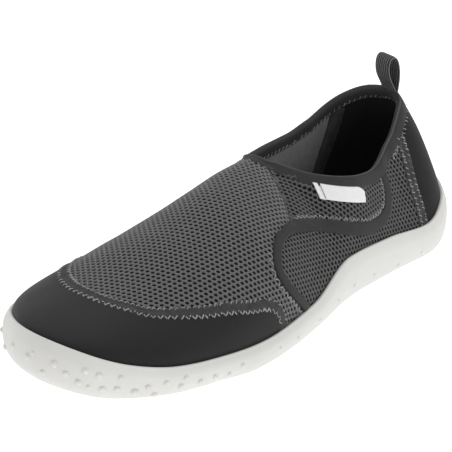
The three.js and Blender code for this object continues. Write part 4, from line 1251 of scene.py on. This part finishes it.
def make_heel_counter():
    rows, cols = 56, 120
    height = np.linspace(0, 1, rows)[:, None]
    edges = []
    for side in (1.0, -1.0):
        low = np.full((rows, 1), 0.0)
        high = np.full((rows, 1), math.pi / 2)
        for _ in range(30):
            middle = (low + high) / 2
            rays = Rays(HEEL_PIVOT, side * np.cos(middle), -np.sin(middle))
            top = angle_at(rays, collar_height)
            p = rays.form(height * top)
            seam = np.interp(p[..., 2], counter_flat[::-1, 1], counter_flat[::-1, 0]) - 2.0
            ahead = p[..., 1] > seam
            low = np.where(ahead, middle, low)
            high = np.where(ahead, high, middle)
        edges.append(low)
    turn = edges[0] + (math.pi - edges[1] - edges[0]) * np.linspace(0, 1, cols)[None, :]
    rays = Rays(HEEL_PIVOT, np.cos(turn), -np.sin(turn))
    top = angle_at(rays, collar_height) - 0.03
    overlay("heel_counter_skin", rays, height * top, CLEARANCE + OVERLAY_WALL, 0.1, counter_cloth,
            "heel_counter")


# Seam bands, bindings and stitches
stitches = []
chance = np.random.default_rng(11)


def zigzag(path, reach, width, period, grow, side=1, radius=0.2, closed=False, sunk=0.55, under=0.45):
    """Thread that runs to and fro across a seam and dips into the cloth at each turn."""
    if closed:
        path = np.concatenate([path, path[:2]])
    path = resample(path, period / 2)
    tangent = unit(np.gradient(path, axis=0))
    across = unit(np.cross(form_normal(path), tangent)) * side
    places, heights = [], []
    inner = 4
    for k in range(len(path) - 1):
        for j in range(inner):
            t = j / inner
            sway = (0.5 - t) * (1 if k % 2 == 0 else -1) * width
            p = path[k] * (1 - t) + path[k + 1] * t
            a = across[k] * (1 - t) + across[k + 1] * t
            places.append(p + a * (reach + sway))
            heights.append((math.sin(math.pi * t) ** 0.6 if t > 0 else 0.0) * (1 if k % 2 == 0 else under))
    p = onto_form(np.array(places))
    rise = grow - sunk + (sunk + radius * 0.6) * np.array(heights)
    thread(lifted(p, rise), radius)


def tube(line, radius, around=5):
    tangent = unit(np.gradient(line, axis=0))
    u = unit(np.cross(tangent, np.array([0.21, 0.37, 0.9])))
    v = np.cross(tangent, u)
    corners = []
    for a in np.linspace(0, 2 * math.pi, around, endpoint=False):
        corners.append(line + radius * (math.cos(a) * u + math.sin(a) * v))
    return sweep(np.array(corners), False)


def thread(line, radius):
    start = 0
    while start < len(line) - 3:
        stop = start + int(chance.integers(7, 26))
        run = line[start:stop]
        if len(run) > 3:
            stitches.append(tube(run, radius * chance.uniform(0.75, 1.15)))
        start = stop + int(chance.integers(0, 3))


def make_toe_seam():
    middle = CAP_EDGE["across"][5]
    w = TOE_SEAM_WIDTH
    profile = [(-0.1, -0.2), (-0.1, 0.35), (0.4, 0.65), (1.2, 0.8), (2.0, 0.65), (2.6, 0.4), (3.3, 0.6),
               (4.2, 0.65), (w - 0.5, 0.5), (w, 0.2), (w, -0.2)]
    side = band_side(cap_edge, behind_cap)
    points, faces = band(cap_edge, profile, side)
    piece = mesh_object("toe_seam_band", points, faces, [seam_cloth])
    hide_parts("toe_seam")
    zigzag(cap_edge[4:-4], 0.1, 2.2, 3.1, 0.7, side, 0.3)
    zigzag(cap_edge[4:-4], 4.6, 1.8, 2.8, 0.6, side, 0.24)


def band_side(path, wanted):
    """Whether a band's sideways direction has to turn over to lie on the wanted side."""
    k = len(path) // 2
    p = path[k - 1:k + 2]
    across = unit(np.cross(form_normal(p), unit(np.gradient(p, axis=0))))
    return 1 if wanted(p + across * 2.0)[1] else -1


def make_counter_seams():
    w = HEEL_SEAM_WIDTH / 2
    profile = [(-w, -0.2), (-w, 0.3), (-w + 0.5, 0.55), (-1.2, 0.65), (0.0, 0.4), (1.2, 0.65),
               (w - 0.5, 0.55), (w, 0.3), (w, -0.2)]
    for side, name, node in ((1, "counter_band_outer", "counter_seam_outer"),
                             (-1, "counter_band_inner", "counter_seam_inner")):
        path = counter_paths[side]
        keep = below_collar(path, BINDING_WIDTH - 1.0)
        ray, _length = rays_under(path)
        keep &= path[:, 2] > ray.rim - 1.0
        path = path[keep]
        points, faces = band(path, profile)
        piece = mesh_object(name, points, faces, [seam_cloth])
        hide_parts(node)
        zigzag(path, -2.0, 2.4, 3.0, 0.65, radius=0.27)
        zigzag(path, 1.9, 2.4, 3.0, 0.65, radius=0.27)


def make_strap():
    """The strap's own sheet under its net, and the binding round its free edge."""
    s, z = np.meshgrid(np.linspace(60, 150, 91), np.linspace(24, 70, 47), indexing="ij")
    grid = side_point(s, z, 1)
    faces = grid_faces(*s.shape)
    centre = grid.reshape(-1, 3)[faces].mean(1)
    keep = on_strap(centre) & below_collar(centre, 2.5)
    faces = faces[keep]
    used, faces = np.unique(faces, return_inverse=True)
    faces = faces.reshape(-1, 4)
    p = grid.reshape(-1, 3)[used]
    points, faces = thicken(lifted(p, strap_base(p) - 0.4), lifted(p, strap_base(p) - 0.7), faces)
    sheet = mesh_object("strap_backing", points, faces, [mesh_hollow])
    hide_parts("side_strap")
    w = STRAP_EDGE_WIDTH / 2
    rise = STRAP_EDGE_RISE
    profile = [(-w, -0.2), (-w, rise * 0.6), (-w + 0.6, rise * 0.9), (-w + 1.5, rise), (0.0, rise * 0.97),
               (w - 1.5, rise), (w - 0.6, rise * 0.9), (w, rise * 0.6), (w, -0.2)]
    ray, _length = rays_under(strap_edge)
    keep = below_collar(strap_edge, BINDING_WIDTH - 2.5) & (strap_edge[:, 2] > ray.rim - 1.0)
    path = strap_edge[keep]
    widths = np.interp(path[:, 1], [140.0, 155.0], [1.0, 0.72])
    points, faces = band(path, profile, taper=4.0, widths=widths)
    piece = mesh_object("strap_binding_tape", points, faces, [binding_cloth])
    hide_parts("strap_binding")
    inner = band_side(path[:40], on_strap)
    foot = int(np.argmax(path[:, 1] > strap_foot[0]))
    zigzag(path[3:foot], w + 1.0, 1.8, 2.9, STRAP_WALL + 0.25, inner, 0.2)
    corner = int(np.argmax(path[:, 1]))
    zigzag(path[corner - 12:-2], w + 0.2, 2.4, 3.0, 0.3, inner, 0.28)


def make_collar_binding():
    far, w = BINDING_RISE, BINDING_WIDTH
    mid, back = -UPPER_WALL / 2, -UPPER_WALL - BINDING_RISE
    profile = [(w, -0.1), (w, far * 0.6), (w - 0.5, far * 0.9), (w / 2, far), (1.0, far), (0.1, far - 0.1),
               (-0.5, far * 0.5), (-0.85, mid + 0.6), (-0.95, mid), (-0.85, mid - 0.6),
               (-0.5, back + 0.4), (0.1, back + 0.1), (1.0, back), (w - 0.6, back),
               (w, back * 0.9), (w, -UPPER_WALL + 0.1), (0.5, -UPPER_WALL + 0.1), (0.0, mid), (0.5, -0.1)]
    front = np.clip((collar[:, 1] - THROAT + 16) / 12, 0, 1)
    flat = 1 - 0.6 * front * front * (3 - 2 * front)
    s = collar[:, 1]
    over_strap = 0.75 * lateral(collar) * np.clip((s - 62) / 5, 0, 1) * np.clip((THROAT - 2 - s) / 5, 0, 1)
    corners = []
    for reach, grow in profile:
        rise = grow * flat + over_strap if grow > 0 else np.full(len(collar), grow)
        if reach <= 0.5:
            p = collar + collar_away * reach
            corners.append(p + collar_normal * (rise + relief(collar))[:, None])
        else:
            corners.append(lifted(onto_form(collar + collar_away * reach), rise))
    points, faces = sweep(np.array(corners), True)
    piece = mesh_object("collar_binding_roll", points, faces, [binding_cloth])
    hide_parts("collar_binding")
    zigzag_on_collar(BINDING_WIDTH + 0.9, 0.3, lambda p: lateral(p) & (p[:, 1] < 56), 2.8, 2.6, 0.24)
    zigzag_on_collar(BINDING_WIDTH + 0.3, 0.2, lambda p: p[:, 1] > THROAT + 1, 1.3, 3.4, 0.18)
    zigzag_on_collar(BINDING_WIDTH + 0.4, 0.3, lambda p: ~lateral(p), 2.0, 3.0, 0.22)
    zigzag_on_collar(BINDING_WIDTH - 1.4, back, lambda p: p[:, 1] > 0, 2.0, 3.2, 0.2)
    # A thin tube of lighter cloth along the binding's crest: a painted highlight where the roll catches the light
    lit = collar - collar_away * 0.7 + collar_normal * (0.15 + relief(collar))[:, None]
    points, faces = tube(np.concatenate([lit, lit[:2]]), 0.5, 8)
    edge = mesh_object("collar_crest_painted_highlight", points, faces, [crest_painted_highlight])
    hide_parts("collar_binding")


def zigzag_on_collar(reach, grow, wanted, width, period, radius):
    """Zigzag beside the collar's edge, where it is wanted."""
    n = len(collar)
    line = []
    for k in range(int(n / (period / 2))):
        for j in range(4):
            t = j / 4
            at = (k + t) * period / 2
            i, f = int(at) % n, at - int(at)
            p = collar[i] * (1 - f) + collar[(i + 1) % n] * f
            a = collar_away[i] * (1 - f) + collar_away[(i + 1) % n] * f
            sway = (0.5 - t) * (1 if k % 2 == 0 else -1) * width
            height = -0.45 if j == 0 else (0.15 if k % 2 == 0 else -0.15)
            line.append(np.append(p + a * (reach + sway), height))
    line = np.array(line)
    keep = wanted(line[:, :3])
    out = 1 if grow > 0 else -1
    for run in np.split(np.arange(len(line)), np.flatnonzero(np.diff(keep.astype(int))) + 1):
        if keep[run[0]] and len(run) > 4:
            thread(lifted(onto_form(line[run, :3]), grow + out * line[run, 3]), radius)


# Label: a bare woven tab on the strap, its front end folded under, with a near-black strip of painted shade at the
# fold
LABEL = table("s z", [(115.8, 54.8), (90.4, 48.8), (92.4, 42.0), (117.4, 48.6)])


def make_label():
    u, v = np.meshgrid(np.linspace(0, 1, 81), np.linspace(0, 1, 17), indexing="ij")
    s = (1 - v) * ((1 - u) * LABEL["s"][0] + u * LABEL["s"][1]) + v * ((1 - u) * LABEL["s"][3] + u * LABEL["s"][2])
    z = (1 - v) * ((1 - u) * LABEL["z"][0] + u * LABEL["z"][1]) + v * ((1 - u) * LABEL["z"][3] + u * LABEL["z"][2])
    s = s + 3.0 * np.clip(1 - v / 0.35, 0, 1) * np.clip((u - 0.8) / 0.2, 0, 1)
    p = side_point(s, z, 1)
    rise = 1.75 - 0.35 * (np.abs(2 * v - 1) ** 8) - 0.4 * (u > 0.98)
    rise = rise - 1.1 * np.exp(-((u - 0.085) / 0.014) ** 2)
    faces = grid_faces(*u.shape)
    # Faces of the strip by the folded front end take the near-black cloth: painted shade in the fold
    which = (np.abs(u.reshape(-1)[faces].mean(1) - 0.085) < 0.02).astype(int)
    points, faces = thicken(lifted(p, rise).reshape(-1, 3), lifted(p, rise * 0 + 1.15).reshape(-1, 3), faces)
    which = np.concatenate([which, np.zeros(len(faces) - len(which), int)])
    piece = mesh_object("blank_label", points, faces, [label_cloth, label_fold_painted_shade], which)
    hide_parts("side_label")


def make_pull_loop():
    turn = math.radians(LOOP_TURN)
    ray = Rays(np.array([HEEL_PIVOT]), math.sin(turn), -math.cos(turn))
    edge = ray.form(angle_at(ray, collar_height))[0]
    path = resample(smooth_path(np.stack([LOOP["out"], LOOP["up"] * LOOP_HEIGHT], 1), 10), 0.6)
    tangent = unit(np.gradient(path, axis=0))
    out = np.stack([tangent[:, 1], -tangent[:, 0]], 1)
    facing = math.radians(LOOP_FACING)
    outwards = np.array([math.sin(facing), -math.cos(facing), 0.0])
    across = np.cross(outwards, (0, 0, 1.0))
    ribs = 7
    t = np.linspace(-1, 1, ribs * 4 + 1)
    crown = (LOOP_WALL / 2) * (1 - 0.5 * np.abs(t) ** 10) + 0.2 * (np.cos((t + 1) * ribs * math.pi) - 1)
    half = LOOP_WIDTH / 2
    profile = [(w * half, h) for w, h in zip(t, crown)] + [(w * half, -h) for w, h in zip(t[::-1], crown[::-1])]
    corners = []
    for w, h in profile:
        q = path + out * h
        level = q[:, 0] - q[:, 1] * LOOP_LEAN
        corners.append(edge + outwards * level[:, None] + np.array([0, 0, 1.0]) * q[:, 1:] + across * w)
    points, faces = sweep(np.array(corners), False)
    # Faces down in the grooves between the ribs take the near-black copy of the tape: painted shade in the grooves
    groove = np.cos((np.concatenate([t, t[::-1]]) + 1) * ribs * math.pi)
    which = []
    for face in faces:
        depth = np.mean([groove[v // len(path)] for v in face])
        which.append(int(len(face) == 4 and depth < -0.2))
    piece = mesh_object("pull_loop_tape", points, faces, [loop_tape, loop_groove_painted_shade], which)
    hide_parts("pull_loop")


def make_lining_seam():
    """Tape over the lining's seam inside the heel."""
    for side, name in ((1, "lining_tape_outer"), (-1, "lining_tape_inner")):
        path = lining_paths[side]
        ray, _length = rays_under(path)
        path = path[(path[:, 2] > ray.rim - 2) & below_collar(path, BINDING_WIDTH - 1.0)]
        if len(path) < 4:
            continue
        profile = [(-4.5, -2.0), (-4.4, -2.35), (0.0, -2.45), (4.4, -2.35), (4.5, -2.0)]
        points, faces = band(path, profile)
        piece = mesh_object(name, points, faces, [seam_cloth])
        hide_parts("upper")


def make_stitches():
    points, faces = join(stitches)
    piece = mesh_object("zigzag_thread", points, faces, [light_thread])
    print("stitches", len(faces))
    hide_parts("strap_binding")


make_sole()
make_footbed()
make_shell()
make_nets()
make_toe_cap()
make_toe_seam()
make_heel_counter()
make_counter_seams()
make_strap()
make_collar_binding()
make_lining_seam()
make_label()
make_pull_loop()
make_stitches()


# Floor, light and camera
def make_floor():
    material, bsdf = shader("pale_floor", (0.93, 0.93, 0.93), 0.9, 0.0, 0.2)
    bsdf.inputs["Emission Color"].default_value = (1, 1, 1, 1)
    bsdf.inputs["Emission Strength"].default_value = 0.5
    mottle(material, bsdf, (0.92, 0.92, 0.92), (0.94, 0.94, 0.94), 2.0)
    mesh = bpy.data.meshes.new("floor")
    half = 6.0
    mesh.from_pydata([(-half, -half, 0), (half, -half, 0), (half, half, 0), (-half, half, 0)], [], [(0, 1, 2, 3)])
    mesh.materials.append(material)
    floor = bpy.data.objects.new("floor", mesh)
    bpy.context.scene.collection.objects.link(floor)


def area_light(name, place_m, size, power, aim=(0.0, 0.0, 0.03)):
    light = bpy.data.lights.new(name, "AREA")
    light.shape = "DISK"
    light.size = size
    light.energy = power
    lamp = bpy.data.objects.new(name, light)
    bpy.context.scene.collection.objects.link(lamp)
    back = unit(np.array(place_m) - np.array(aim))
    right = unit(np.cross((0, 0, 1.0), back))
    up = np.cross(back, right)
    lamp.matrix_world = Matrix(np.vstack([np.column_stack([right, up, back, place_m]), [0, 0, 0, 1]]).tolist())


def make_light():
    world = bpy.data.worlds.new("studio")
    bpy.context.scene.world = world
    world.use_nodes = True
    background = world.node_tree.nodes["Background"]
    background.inputs["Color"].default_value = (1, 1, 1, 1)
    background.inputs["Strength"].default_value = 0.6
    area_light("key", (-1.1, 0.4, 1.9), 1.4, 14.0)
    area_light("side", (1.9, -0.3, 0.7), 1.2, 9.0)


CAMERA_TURN = 37.21
CAMERA_RISE = 23.542
CAMERA_ROLL = 2.455
CAMERA_DISTANCE = 1.0705
CAMERA_SHIFT = (-0.01108, 0.033398)
IMAGE_WIDTH = 452
FOCAL_PIXELS = 2261.3


def make_camera():
    turn, rise, roll = (math.radians(a) for a in (CAMERA_TURN, CAMERA_RISE, CAMERA_ROLL))
    back = np.array([math.sin(turn) * math.cos(rise), -math.cos(turn) * math.cos(rise), math.sin(rise)])
    right = np.array([math.cos(turn), math.sin(turn), 0.0])
    up = np.cross(back, right)
    where = back * CAMERA_DISTANCE + right * CAMERA_SHIFT[0] + up * CAMERA_SHIFT[1]
    across = right * math.cos(roll) + up * math.sin(roll)
    above = -right * math.sin(roll) + up * math.cos(roll)
    data = bpy.data.cameras.new("camera")
    data.sensor_width = 36.0
    data.lens = FOCAL_PIXELS * data.sensor_width / IMAGE_WIDTH
    data.clip_end = 50.0
    camera = bpy.data.objects.new("camera", data)
    bpy.context.scene.collection.objects.link(camera)
    camera.matrix_world = Matrix(np.vstack([np.column_stack([across, above, back, where]), [0, 0, 0, 1]]).tolist())
    bpy.context.scene.camera = camera


make_floor()
make_light()
make_camera()
bpy.context.scene.view_settings.view_transform = "Standard"
bpy.context.scene.view_settings.look = "None"
